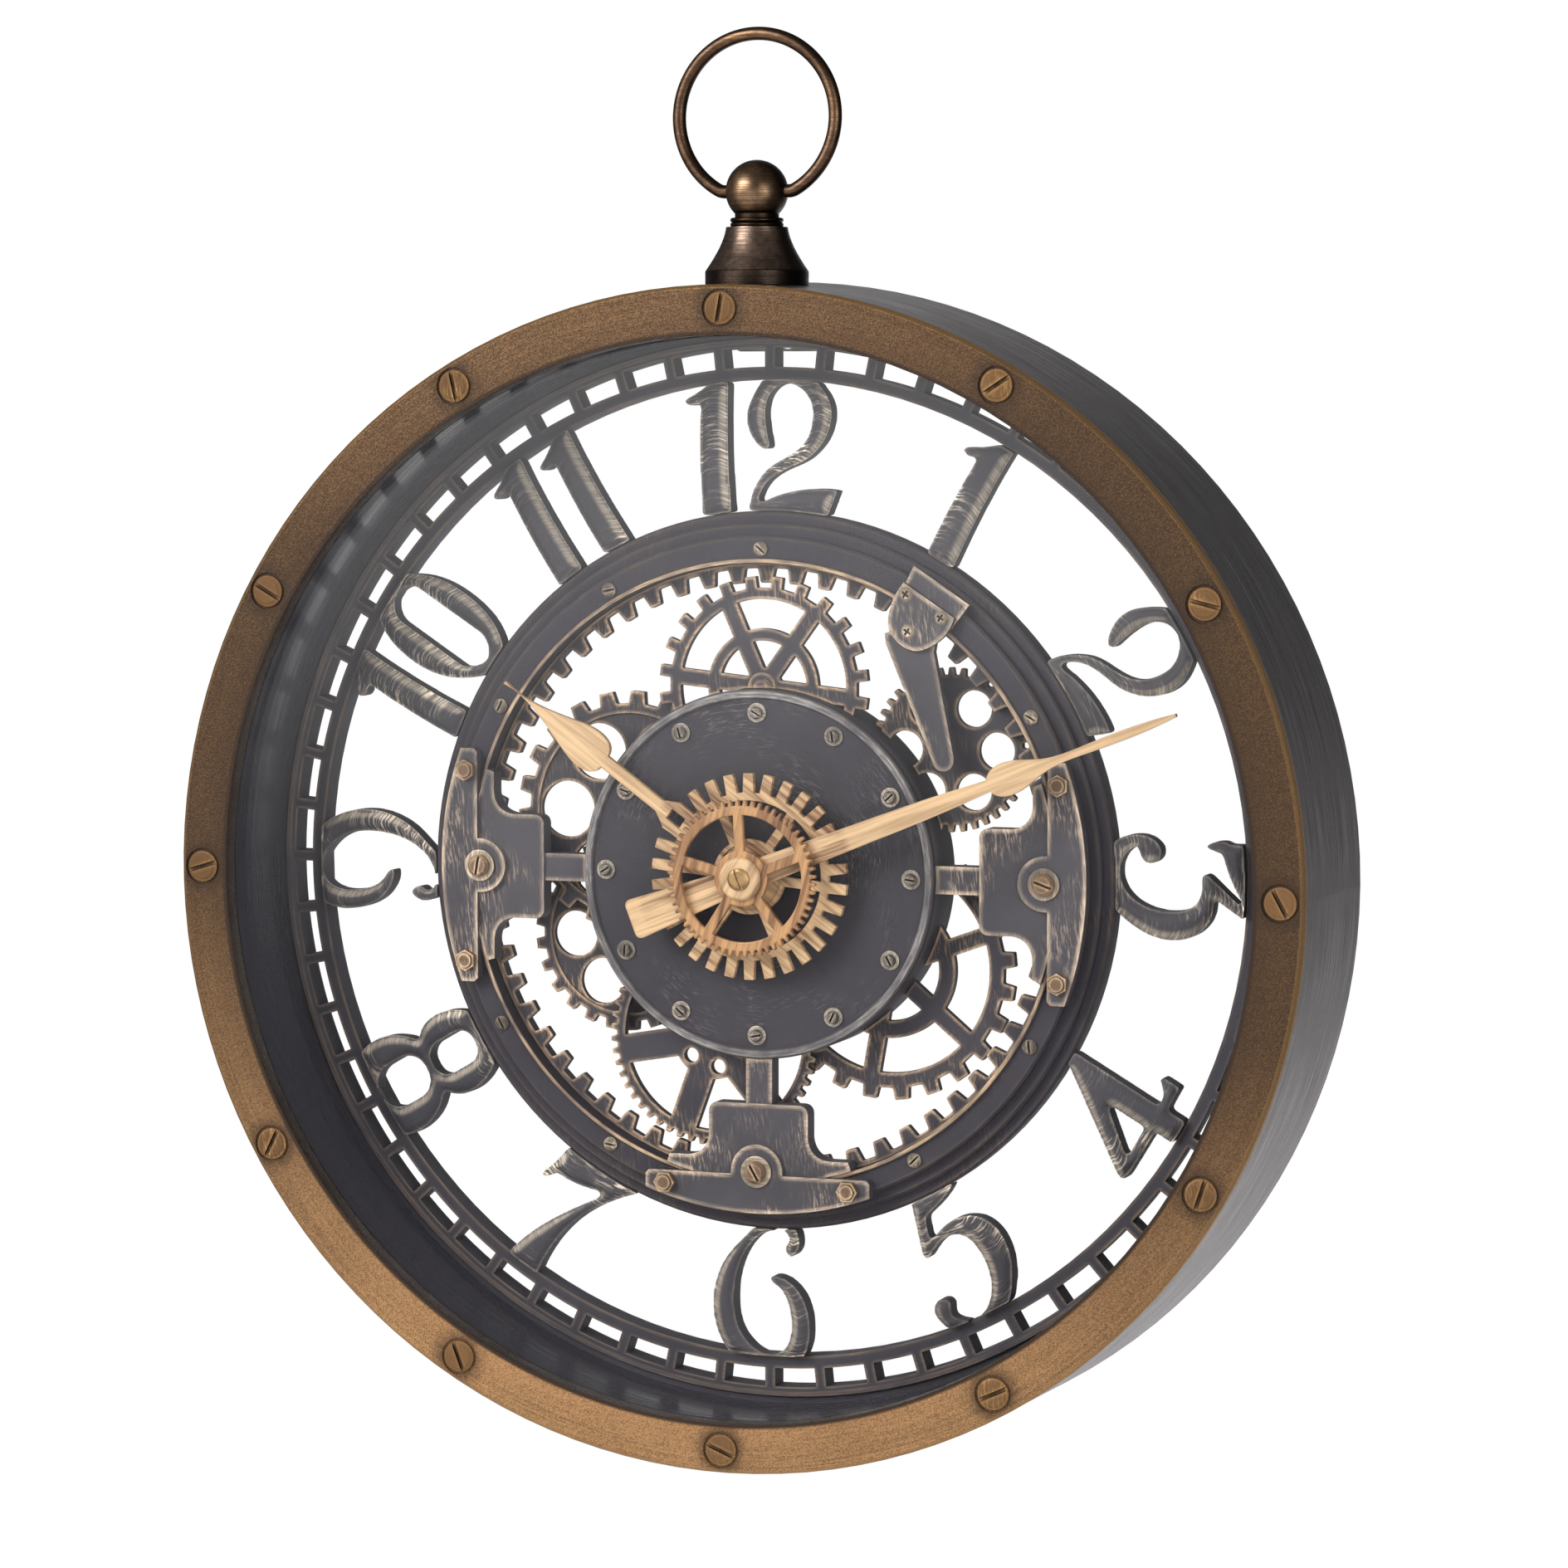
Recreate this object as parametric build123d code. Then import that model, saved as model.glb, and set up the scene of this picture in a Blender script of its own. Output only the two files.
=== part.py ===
"""An open-work wall clock in the form of a large pocket watch.

The dial axis is the Y axis. The wall is the plane y = 0, the dial faces -Y and +Z is twelve o'clock.
Heights are measured forward from the wall, and clock angles in degrees clockwise from twelve.
"""
from build123d import *
from math import cos, radians, sin, sqrt
import os

os.makedirs("parts", exist_ok=True)

# Clearances between pieces
SEAT_GAP = 0.1          # fixed pieces that meet on a curved face
RUNNING_GAP = 0.05      # radial, shafts in their bearings
SCREW_GAP = 0.2         # radial, screw shanks in clearance holes
THREAD_GAP = 0.05       # radial, screw shanks in their threads

# Case and bezel
BEZEL_R = 230.0
DIAL = BEZEL_R / 230.0  # all sizes across the dial follow the bezel
BEZEL_BORE_R = 210.6 * DIAL
BEZEL_FRONT = 80.8
BEZEL_SHEET = 2.0
BEZEL_LIP = 7.8         # depth of the turned-in lip round the glass
BEZEL_SKIRT = 5.8       # depth of the turned-back outer edge
BEZEL_EDGE = 1.2        # chamfer of the outer front edge
DRUM_BACK_R = 232.6 * DIAL
DRUM_WALL = 1.5
DRUM_FLANGE_R = 214.0 * DIAL   # inner edge of the rear flange
DRUM_FLANGE_LOW = 3.2   # the flange is set in from the wall
SCREW_CIRCLE_R = 220.9 * DIAL
BEZEL_SCREWS = 12
BEZEL_SCREW_HEAD_R = 6.2
BEZEL_SCREW_HEAD = 1.8
BEZEL_SCREW_R = 2.0
BEZEL_RECESS_R = 7.3
BEZEL_RECESS = 0.8
SLOT_W = 1.6
SLOT_DEPTH = 1.1

# Glass, gasket and shroud
GLASS_R = 216.6 * DIAL
GLASS_T = 3.0
GASKET_T = 1.0
SHROUD_R = 213.0 * DIAL
SHROUD_WALL = 2.2
SHROUD_FLANGE = 2.0
SHROUD_BOSS_R = 4.6
SHROUD_BOSS = 12.0
DRUM_SIDE_GAP = 0.4     # shroud flange and dial skirt inside the drum

# Chapter ring and numerals
CHAPTER_R = 194.0 * DIAL
CHAPTER_BACK = 14.0
CHAPTER_FRONT = 24.0
WINDOW_IN_R = 199.0 * DIAL
WINDOW_OUT_R = 206.5 * DIAL
WINDOWS = 60
BAR_W = 4.2
BEAD_R = 209.0 * DIAL
BEAD_W = 3.4
BEAD_H = 2.0
SKIRT_T = 6.0
CHAPTER_FLANGE_T = 3.0
DIAL_SCREWS = 6
DIAL_SCREW_R = 1.5
DIAL_SCREW_HEAD_R = 3.0
DIAL_SCREW_HEAD = 1.6
FIGURE_TALL = 51.5      # height at which the figures are drawn
NUMERAL_BACK = 18.5
NUMERAL_FRONT = 28.5

# Stepped inner ring and its ring gear
INNER_RING_R = 142.5 * DIAL
INNER_RING_BORE_R = 122.4 * DIAL
INNER_RING_BACK = 17.0
STEP_EDGE = 1.0         # chamfer of each step
STEP_ONE_R = 138.0 * DIAL
STEP_TWO_R = 133.0 * DIAL
STEP_ONE = 27.0
STEP_TWO = 30.5
RING_FLAT = 34.6
RIDGE_W = 2.0
RIDGE_H = 1.6
RING_SCREW_R = 127.8 * DIAL
RING_SCREW_HEAD_R = 2.9
RING_SCREW_HEAD = 1.6
RING_SCREW_SHANK_R = 1.2
RING_SCREW_SHANK = 8.0
RING_SCREW_HOURS = (2, 4, 5, 7, 8, 10, 11, 12)
RING_GEAR_BACK = 24.5
RING_GEAR_FRONT = 28.5
RING_GEAR_ROOT_R = 120.0 * DIAL
RING_GEAR_TIP_R = 114.3 * DIAL
RING_GEAR_TEETH = 60

# Centre disc
DISC_R = 73.0 * DIAL
DISC_FRONT = 39.0
DISC_T = 3.0
DISC_WALL = 2.2
DISC_BACK = 12.0
DISC_BEAD_W = 4.0
DISC_BEAD_SLOPE = 0.8
DISC_BEAD_H = 1.6
DISC_SCREWS = 12
DISC_SCREW_CIRCLE_R = 63.7 * DIAL
DISC_SCREW_HEAD_R = 2.5
DISC_SCREW_HEAD = 1.9
DISC_WASHER_R = 3.9
DISC_WASHER_T = 0.7
DISC_SCREW_SHANK_R = 1.2

# T brackets at three, six and nine
BRACKET_HOURS = {"right": 3, "bottom": 6, "left": 9}
BRACKET_BLOCK_BACK = 30.0
BRACKET_BLOCK_FRONT = 38.0
BRACKET_BLOCK_IN_R = 91.0 * DIAL
BRACKET_BLOCK_HALF = 20.8 * DIAL
BRACKET_SHOULDER_HALF = 37.5 * DIAL
BRACKET_SHOULDER_R = 112.5 * DIAL
BRACKET_ARM_W = 11.0 * DIAL
BRACKET_ARM_BACK = 29.0
BRACKET_ARM_FRONT = 37.0
BRACKET_BAR_HALF = 47.0 * DIAL
BRACKET_BAR_IN_R = 119.0 * DIAL
BRACKET_BAR_OUT_R = 134.6 * DIAL
BRACKET_BAR_FRONT = 40.0
BRACKET_BOSS_R = 10.8 * DIAL
BRACKET_CORNER = 3.5 * DIAL
BRACKET_HOLLOW = 8.5 * DIAL
CORNER_SHARE = 0.3      # how far the middle of a rounded corner stands in from its square corner
BRACKET_SLANT = 1.5 * DIAL
PIVOT_R = 117.8 * DIAL
PIVOT_WASHER_R = 6.4
PIVOT_WASHER_T = 0.9
PIVOT_HEAD_R = 4.4
PIVOT_HEAD = 2.6
PIVOT_SHANK_R = 2.5
HEX_R = 123.6 * DIAL
HEX_SIDE = 38.3 * DIAL
HEX_ACROSS = 7.6
HEX_HEAD = 2.6
HEX_CAP_R = 2.9
HEX_CAP = 0.8
HEX_SHANK_R = 1.6
HEX_SHANK = 12.0

# Pawl at one o'clock
PAWL_TAB_T = 2.2
PAWL_PLATE_T = 2.4
PAWL_LEVER_BACK = 33.0
PAWL_SCREW_HEAD_R = 2.7
PAWL_SCREW_HEAD = 1.3
PAWL_SCREW_SHANK_R = 1.2
CROSS_W = 0.8
PAWL_SCREWS = ((61.5 * DIAL, 111.0 * DIAL), (75.7 * DIAL, 102.0 * DIAL), (62.2 * DIAL, 96.5 * DIAL))

# Ornamental gears: their middles on the dial, as (x, z)
GEAR_T = 3.8
GEAR_RECESS = 1.0
TOP_GEAR = (0.0, 73.5 * DIAL)
TOP_GEAR_BACK = 28.7
TOP_GEAR_ROOT_R = 39.0 * DIAL
TOP_GEAR_TIP_R = 43.6 * DIAL
TOP_GEAR_RIM_R = 34.6 * DIAL
TOP_GEAR_HUB_R = 7.6 * DIAL
TOP_GEAR_SPOKE_W = 6.6 * DIAL
TOP_GEAR_RING_R = 23.0 * DIAL
TOP_GEAR_RING_W = 4.8 * DIAL
RIVET_FLANGE_R = 5.8
RIVET_FLANGE = 1.3
RIVET_R = 3.6
RIVET_TOP_R = 2.6
RIVET_TOP = 2.9         # above the gear
TWO_GEAR = (74.8 * DIAL, 49.8 * DIAL)
TWO_GEAR_BACK = 20.0
TWO_GEAR_ROOT_R = 29.4 * DIAL
TWO_GEAR_TIP_R = 32.3 * DIAL
TWO_GEAR_HOLE_R = 7.2 * DIAL
TWO_GEAR_HOLES_AT = 18.8 * DIAL
UPPER_GEAR = (-58.5 * DIAL, 22.5 * DIAL)
UPPER_GEAR_BACK = 22.7
UPPER_GEAR_ROOT_R = 43.0 * DIAL
UPPER_GEAR_TIP_R = 48.0 * DIAL
UPPER_GEAR_HOLE_R = 11.3 * DIAL
UPPER_GEAR_HOLES_AT = 27.0 * DIAL
UPPER_GEAR_RECESS_R = 39.0 * DIAL
LOWER_GEAR = (-62.0 * DIAL, -27.4 * DIAL)
LOWER_GEAR_BACK = 18.4
LOWER_GEAR_ROOT_R = 35.4 * DIAL
LOWER_GEAR_TIP_R = 39.0 * DIAL
LOWER_GEAR_HOLE_R = 9.2 * DIAL
LOWER_GEAR_HOLES_AT = 22.0 * DIAL
LOWER_GEAR_RECESS_R = 32.0 * DIAL
SEVEN_GEAR = (-22.5 * DIAL, -66.5 * DIAL)
SEVEN_GEAR_BACK = 24.5
SEVEN_GEAR_ROOT_R = 41.2 * DIAL
SEVEN_GEAR_TIP_R = 43.6 * DIAL
SEVEN_GEAR_RIM_R = 37.6 * DIAL
SEVEN_GEAR_HUB_R = 17.0 * DIAL
SEVEN_GEAR_SPOKE_W = 11.4 * DIAL
SEVEN_GEAR_HOLE_R = 3.0 * DIAL
SEVEN_GEAR_HOLES_AT = 12.1 * DIAL
RIGHT_GEAR = (49.5 * DIAL, -37.0 * DIAL)
RIGHT_GEAR_BACK = 19.8
RIGHT_GEAR_ROOT_R = 47.3 * DIAL
RIGHT_GEAR_TIP_R = 52.0 * DIAL
RIGHT_GEAR_RIM_R = 41.3 * DIAL
RIGHT_GEAR_HUB_R = 9.0 * DIAL
RIGHT_GEAR_SPOKE_W = 7.0 * DIAL
RIGHT_GEAR_RING_R = 27.5 * DIAL
RIGHT_GEAR_RING_W = 6.9 * DIAL

# Movement
CELL_LENGTH = 50.0
CELL_ROOM = 3.0         # beside each end of the cell, walls included
MOVEMENT = CELL_LENGTH + 2 * CELL_ROOM
MOVEMENT_WALL = 1.6
MOVEMENT_DEPTH = 16.0
MOVEMENT_CORNER = 4.0
COVER_T = 1.6
MOUNT_WASHER_T = 0.8
MOUNT_WASHER_R = 7.5
BUSH_R = 4.0
BUSH_FLANGE_R = 6.5
BUSH_FLANGE_T = 1.2
BUSH_LENGTH = 9.4       # above the housing
BUSH_NUT_ACROSS = 12.0
BUSH_NUT_T = 2.2
CELL_R = 7.0
CELL_Z = -19.0
CELL_NUB = 1.2
CELL_NUB_R = 2.7
CELL_GAP = 0.5          # round the cell in its opening
CONTACT_T = 0.5
CONTACT_SIDE = 9.0
POST_R = 2.6
POST_INSET = 4.8
POST_X = MOVEMENT / 2 - POST_INSET
POST_HIGH_Z = POST_X
POST_LOW_Z = -7.0
COVER_SCREW_R = 1.0
COVER_SCREW = 7.0       # length of thread in the posts
COVER_SCREW_HEAD_R = 2.0
COVER_SCREW_HEAD = 1.2
BOARD_T = 1.2
BOARD_W = 9.0
BOARD_LENGTH = 36.0
BOARD_GAP = 0.6         # from the setting arbor
COIL_R = 3.2
COIL_LENGTH = 20.0
COIL_FLANGE = 7.2

# Hands and their gears
HOUR_HAND_BACK = 46.4
HAND_T = 2.6
HAND_STEP = 5.2         # from the back of one hand to the back of the next
FRONT_GEAR_STEP = 4.0   # from the back of the minute hand to the back of the front gear
FRONT_GEAR_T = 2.4
MINUTE_ANGLE = 68.8
HOUR_PIPE_R = 2.7
ARBOR_R = 1.7
HOUR_GEAR_TIP_R = 40.6 * DIAL
HOUR_GEAR_ROOT_R = 33.0 * DIAL
HOUR_GEAR_RIM_R = 30.0 * DIAL
HOUR_GEAR_HUB_R = 14.8 * DIAL
HOUR_GEAR_TEETH = 30
HOUR_GEAR_SPOKE_W = 3.8 * DIAL
HOUR_REACH = 127.0 * DIAL
HOUR_LEAF_HALF = 8.2 * DIAL
HOUR_LEAF_AT = 83.0 * DIAL
HOUR_BAR_W = 5.2 * DIAL
FORK_W = 11.8 * DIAL
FORK_SLOT_W = 4.6 * DIAL
FORK_SLOT_IN_R = 34.2 * DIAL
FORK_SLOT_OUT_R = 41.0 * DIAL
FORK_OUT_R = 45.0 * DIAL
FORK_LAP = 1.0 * DIAL    # of the fork into the rim and the bar
MINUTE_REACH = 186.0 * DIAL
MINUTE_TAIL = 51.0 * DIAL
MINUTE_TAIL_W = 16.0 * DIAL
MINUTE_TAIL_CORNER = 2.4 * DIAL
MINUTE_HUB_W = 11.0 * DIAL
MINUTE_BAR_W = 8.6 * DIAL
MINUTE_NECK_W = 4.6 * DIAL
MINUTE_LEAF_AT = 113.0 * DIAL
MINUTE_LEAF_HALF = 6.3 * DIAL
COLLET_R = 4.4          # collar behind the minute hand
COLLET_GAP = 0.4        # between the collar and the end of the hour pipe
HUB_RIM = 1.6           # rims left round the dished hub of the hour gear
HUB_DISH = 0.9
FRONT_GEAR_TIP_R = 30.8 * DIAL
FRONT_GEAR_ROOT_R = 28.5 * DIAL
FRONT_GEAR_RIM_R = 24.9 * DIAL
FRONT_GEAR_HUB_R = 11.0 * DIAL
FRONT_GEAR_TEETH = 60
FRONT_GEAR_SPOKE_W = 3.8 * DIAL
HUB_CAP_R = 8.5
HUB_CAP_T = 2.4
HUB_SCREW_R = 4.4
HUB_SCREW_T = 1.2
HUB_SCREW_SHANK_R = 0.8
HUB_SCREW_SHANK = 5.0
TIP_HALF = 0.6          # half width of the hands at their tips

# Motion work
CANNON_TEETH = 12
MINUTE_WHEEL_TEETH = 36
HOUR_PINION_TEETH = 10
HOUR_WHEEL_TEETH = 40
WORK_CENTRES = 12.0     # from the dial axis to the minute-wheel arbor
WHEEL_T = 1.6
WHEEL_GAP = 0.6         # between wheels one above the other
KNOB_R = 7.5
KNOB_T = 4.0
WORK_ARBOR_R = 1.2
TOOTH_ABOVE = 0.55      # in modules, outside the pitch circle
TOOTH_BELOW = 1.0       # in modules, inside the pitch circle
KNOB_HOLD = 3.0         # depth of the arbor in the knob
KNOB_RIBS = 30
KNURL = 0.5

# Pendant and bow
PENDANT_HEIGHT = 39.0   # in front of the wall
PENDANT_BASE_R = 20.2
PENDANT_BASE = 4.5
PENDANT_TOP_R = 12.0
PENDANT_FLARE = 17.2
COLLAR_R = 10.4
COLLAR = 3.6
COLLAR_BEADS = 2
NECK_R = 8.6
NECK = 1.6
BALL_R = 12.2
STUD_R = 4.0
STUD_BELOW = 11.0       # below the outside of the drum
PENDANT_NUT_ACROSS = 13.0
PENDANT_NUT_T = 5.0
PENDANT_WASHER_R = 9.0
PENDANT_WASHER_T = 1.4
BOW_R = 32.2            # to the middle of the wire
WIRE_R = 2.6
BOW_GAP_ANGLE = 30.0    # from the bottom of the ring to each end of its arc
BOW_BEND_R = 6.0        # where the ends turn in to the ball
BOW_PIN_REACH = 6.0     # from the middle of the ball to the tips of the ends
BOW_END_GAP = 0.8

# Keyhole hanger at the back
HANGER_W = 44.0
HANGER_T = 1.5
HANGER_LOW_Z = 205.2 * DIAL
HANGER_HIGH_Z = 224.0 * DIAL
KEYHOLE_R = 4.5
KEYHOLE_Z = 210.7 * DIAL
KEYSLOT_W = 4.6
KEYSLOT_TOP = 5.5
NAIL_ROOM = 16.0        # width of the notch in the flange, for the nail's head
HANGER_SCREW_X = 15.0
HANGER_SCREW_INSET = 10.5
HANGER_SCREW_Z = BEZEL_R - HANGER_SCREW_INSET
HANGER_SCREW_R = 1.4
HANGER_SCREW_HEAD_R = 2.8
HANGER_SCREW_HEAD = 1.2

# Worked out from the driving dimensions
DRUM_FRONT = BEZEL_FRONT - BEZEL_SKIRT
GLASS_FRONT = BEZEL_FRONT - BEZEL_LIP - GASKET_T
GLASS_BACK = GLASS_FRONT - GLASS_T
SKIRT_BACK = DRUM_FLANGE_LOW + DRUM_WALL
SKIRT_OUT_R = BEZEL_R - DRUM_WALL - DRUM_SIDE_GAP
PLATE_BACK = DISC_FRONT - DISC_T
HOUSING_FRONT = PLATE_BACK - MOUNT_WASHER_T
HOUSING_BACK = HOUSING_FRONT - MOVEMENT_DEPTH
MINUTE_HAND_BACK = HOUR_HAND_BACK + HAND_STEP
FRONT_GEAR_BACK = MINUTE_HAND_BACK + FRONT_GEAR_STEP
CAP_BACK = FRONT_GEAR_BACK + FRONT_GEAR_T
HOUR_ANGLE = 300.0 + MINUTE_ANGLE / 12.0
DRUM_TAPER = (DRUM_BACK_R - BEZEL_R) / DRUM_FRONT
PENDANT_FOOT = DRUM_BACK_R - DRUM_TAPER * PENDANT_HEIGHT
BELL_TOP = PENDANT_FOOT + PENDANT_BASE + PENDANT_FLARE
BALL_LOW = BELL_TOP + COLLAR + NECK
BALL_Z = BALL_LOW + sqrt(BALL_R ** 2 - NECK_R ** 2)


def at(height):
    """The dial plane at a height: x to the right, y up, normal to the front."""
    return Plane.XZ.offset(height)


def slab(sketch, low, high):
    """A flat outline made solid between two heights."""
    return extrude(at(low) * sketch, amount=high - low)


def turned(*corners):
    """A ring or disc about the dial axis, from corners given as (radius, height)."""
    profile = make_face(Polyline(*[(r, -h) for r, h in corners], close=True))
    return revolve(profile, Axis.Y)


def polar(radius, angle):
    """The point of the dial plane at a radius and a clock angle."""
    return (radius * sin(radians(angle)), radius * cos(radians(angle)))


def clockwise(angle, shape):
    """A shape turned about the dial axis by a clock angle."""
    return Rot(0, angle, 0) * shape


def ring_of(shape, angles):
    """Copies of a shape, one at each clock angle, as separate solids."""
    return Compound(children=[solid for a in angles for solid in clockwise(a, shape).solids()])


def even(count, first=0.0):
    """Clock angles of an even pattern."""
    return [first + 360.0 * i / count for i in range(count)]


def outline(*runs):
    """A face bounded by runs of points: two points are straight, more are a smooth curve."""
    edges = [Line(*run) if len(run) == 2 else Spline(*run) for run in runs]
    return make_face(edges)


def polygon(*points):
    """A face with straight edges."""
    return make_face(Polyline(*points, close=True))


def disc(radius, x=0.0, y=0.0):
    """A round face."""
    return Pos(x, y) * Circle(radius)


def annulus(outer, inner):
    """A flat ring face."""
    return Circle(outer) - Circle(inner)


def spokes(count, reach, width, first=0.0):
    """Straight spokes from the middle of a wheel."""
    bar = Pos(0, reach / 2) * Rectangle(width, reach)
    return [Rot(0, 0, -a) * bar for a in even(count, first)]


def toothed(root_r, tip_r, teeth, tip_share=0.38, root_share=0.56, first=0.0):
    """The outline of a gear; shares are of the tooth pitch, and first is a tooth's clock angle."""
    pitch = 360.0 / teeth
    points = []
    for a in even(teeth, first):
        points.append(polar(root_r, a - pitch * root_share / 2))
        points.append(polar(tip_r, a - pitch * tip_share / 2))
        points.append(polar(tip_r, a + pitch * tip_share / 2))
        points.append(polar(root_r, a + pitch * root_share / 2))
    return polygon(*points)


def slot_cut(width, length, top, depth):
    """A screwdriver slot, sunk from the top of a head on the dial axis."""
    return slab(Rectangle(length, width), top - depth, top + depth)


def slotted_screw(head_r, head, shank_r, shank, seat, slot_w, slot_depth, turn=0.0):
    """A round-headed slotted screw on the dial axis, with its head on a seat."""
    top = seat + head
    body = turned((0, seat - shank), (shank_r, seat - shank), (shank_r, seat), (head_r, seat),
                  (head_r, seat + head * 0.45), (head_r * 0.72, top), (0, top))
    return body - clockwise(turn, slot_cut(slot_w, 2.2 * head_r, top, slot_depth))


def placed(shape, radius, angle, turn=0.0):
    """A shape from the dial axis, moved to a radius and a clock angle."""
    x, z = polar(radius, angle)
    return Pos(x, 0, z) * clockwise(turn, shape)


def save(name, shape):
    """Write one piece."""
    export_step(shape, f"parts/{name}.step")


def rear_screw(head_r, head, shank_r, shank, seat):
    """A cross-head screw on the dial axis, driven from the back, with its head under a seat."""
    body = turned((0, seat + shank), (shank_r, seat + shank), (shank_r, seat), (head_r, seat),
                  (head_r * 0.8, seat - head), (0, seat - head))
    for turn in (0, 90):
        body -= clockwise(turn, slot_cut(CROSS_W, head_r * 1.1, seat - head, head * 0.6))
    return body


def round_hole(radius, low, high):
    """A cutter for a hole on the dial axis."""
    return slab(Circle(radius), low, high)


def wall_in(height):
    """Inside radius of the drum at a height."""
    return DRUM_BACK_R - DRUM_WALL - DRUM_TAPER * height


# Case drum with its inturned rear flange
flange_top = DRUM_FLANGE_LOW + DRUM_WALL
dial_screw_at = SKIRT_OUT_R - SKIRT_T / 2
dial_screw_angles = even(DIAL_SCREWS, 30)
drum = turned((BEZEL_R, DRUM_FRONT), (DRUM_BACK_R, 0), (DRUM_BACK_R - DRUM_WALL, 0),
              (wall_in(DRUM_FLANGE_LOW), DRUM_FLANGE_LOW), (DRUM_FLANGE_R, DRUM_FLANGE_LOW),
              (DRUM_FLANGE_R, flange_top), (wall_in(flange_top), flange_top),
              (BEZEL_R - DRUM_WALL, DRUM_FRONT))
stud_axis = Plane((0, -PENDANT_HEIGHT, 0))
drum -= extrude(stud_axis.offset(PENDANT_FOOT - 4 * DRUM_WALL) * Circle(STUD_R + SCREW_GAP),
                amount=8 * DRUM_WALL)
flange_hole = round_hole(DIAL_SCREW_R + SCREW_GAP, 0, flange_top + DRUM_WALL)
drum -= [placed(flange_hole, dial_screw_at, a) for a in dial_screw_angles]
hanger_hole = round_hole(HANGER_SCREW_R + THREAD_GAP, 0, flange_top + DRUM_WALL)
drum -= [Pos(x, 0, HANGER_SCREW_Z) * hanger_hole for x in (-HANGER_SCREW_X, HANGER_SCREW_X)]
notch_z = SKIRT_OUT_R - SKIRT_T - NAIL_ROOM / 2
drum -= slab(Pos(0, notch_z) * Rectangle(NAIL_ROOM, NAIL_ROOM), 0, flange_top + DRUM_WALL)
save("case_drum", drum)

# Bezel with its lip, its skirt and a recess for each screw
bezel = turned((BEZEL_BORE_R, BEZEL_FRONT), (BEZEL_R - BEZEL_EDGE, BEZEL_FRONT),
               (BEZEL_R, BEZEL_FRONT - BEZEL_EDGE), (BEZEL_R, DRUM_FRONT),
               (BEZEL_R - BEZEL_SHEET, DRUM_FRONT), (BEZEL_R - BEZEL_SHEET, BEZEL_FRONT - BEZEL_SHEET),
               (BEZEL_BORE_R + BEZEL_SHEET, BEZEL_FRONT - BEZEL_SHEET),
               (BEZEL_BORE_R + BEZEL_SHEET, BEZEL_FRONT - BEZEL_LIP), (BEZEL_BORE_R,
                                                                       BEZEL_FRONT - BEZEL_LIP))
bezel_seat = BEZEL_FRONT - BEZEL_RECESS
screw_place = round_hole(BEZEL_RECESS_R, bezel_seat, BEZEL_FRONT + BEZEL_RECESS)
screw_place += round_hole(BEZEL_SCREW_R + SCREW_GAP, BEZEL_FRONT - 2 * BEZEL_SHEET, bezel_seat)
bezel -= [placed(screw_place, SCREW_CIRCLE_R, a) for a in even(BEZEL_SCREWS)]
save("bezel", bezel)

# Bezel screws, each with its slot at its own angle
boss_top = GLASS_BACK - SHROUD_FLANGE
bezel_shank = bezel_seat - boss_top + SHROUD_BOSS * 0.7
bezel_screws = [
    placed(slotted_screw(BEZEL_SCREW_HEAD_R, BEZEL_SCREW_HEAD, BEZEL_SCREW_R, bezel_shank, bezel_seat,
                         SLOT_W, SLOT_DEPTH), SCREW_CIRCLE_R, a, 100 + 47 * i)
    for i, a in enumerate(even(BEZEL_SCREWS))
]
save("bezel_screws", Compound(children=bezel_screws))

# Front glass and the gasket between it and the bezel lip
save("front_glass", turned((0, GLASS_BACK), (GLASS_R, GLASS_BACK), (GLASS_R, GLASS_FRONT), (0,
     GLASS_FRONT)))
gasket_top = GLASS_FRONT + GASKET_T
save("glass_gasket", turned((BEZEL_BORE_R, GLASS_FRONT), (GLASS_R, GLASS_FRONT), (GLASS_R, gasket_top),
                            (BEZEL_BORE_R, gasket_top)))

# Shroud ring: the dark wall between dial and glass, with bosses for the bezel screws
shroud_out = SHROUD_R + SHROUD_WALL
shroud = turned((SHROUD_R, CHAPTER_FRONT), (SHROUD_R, GLASS_BACK), (SKIRT_OUT_R, GLASS_BACK),
                (SKIRT_OUT_R, boss_top), (shroud_out, boss_top), (shroud_out, CHAPTER_FRONT))
boss = round_hole(SHROUD_BOSS_R, boss_top - SHROUD_BOSS, GLASS_BACK)
boss_hole = round_hole(BEZEL_SCREW_R + THREAD_GAP, boss_top - 2 * SHROUD_BOSS, GLASS_FRONT)
shroud += [placed(boss, SCREW_CIRCLE_R, a) for a in even(BEZEL_SCREWS)]
shroud -= [placed(boss_hole, SCREW_CIRCLE_R, a) for a in even(BEZEL_SCREWS)]
save("shroud_ring", shroud)

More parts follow.
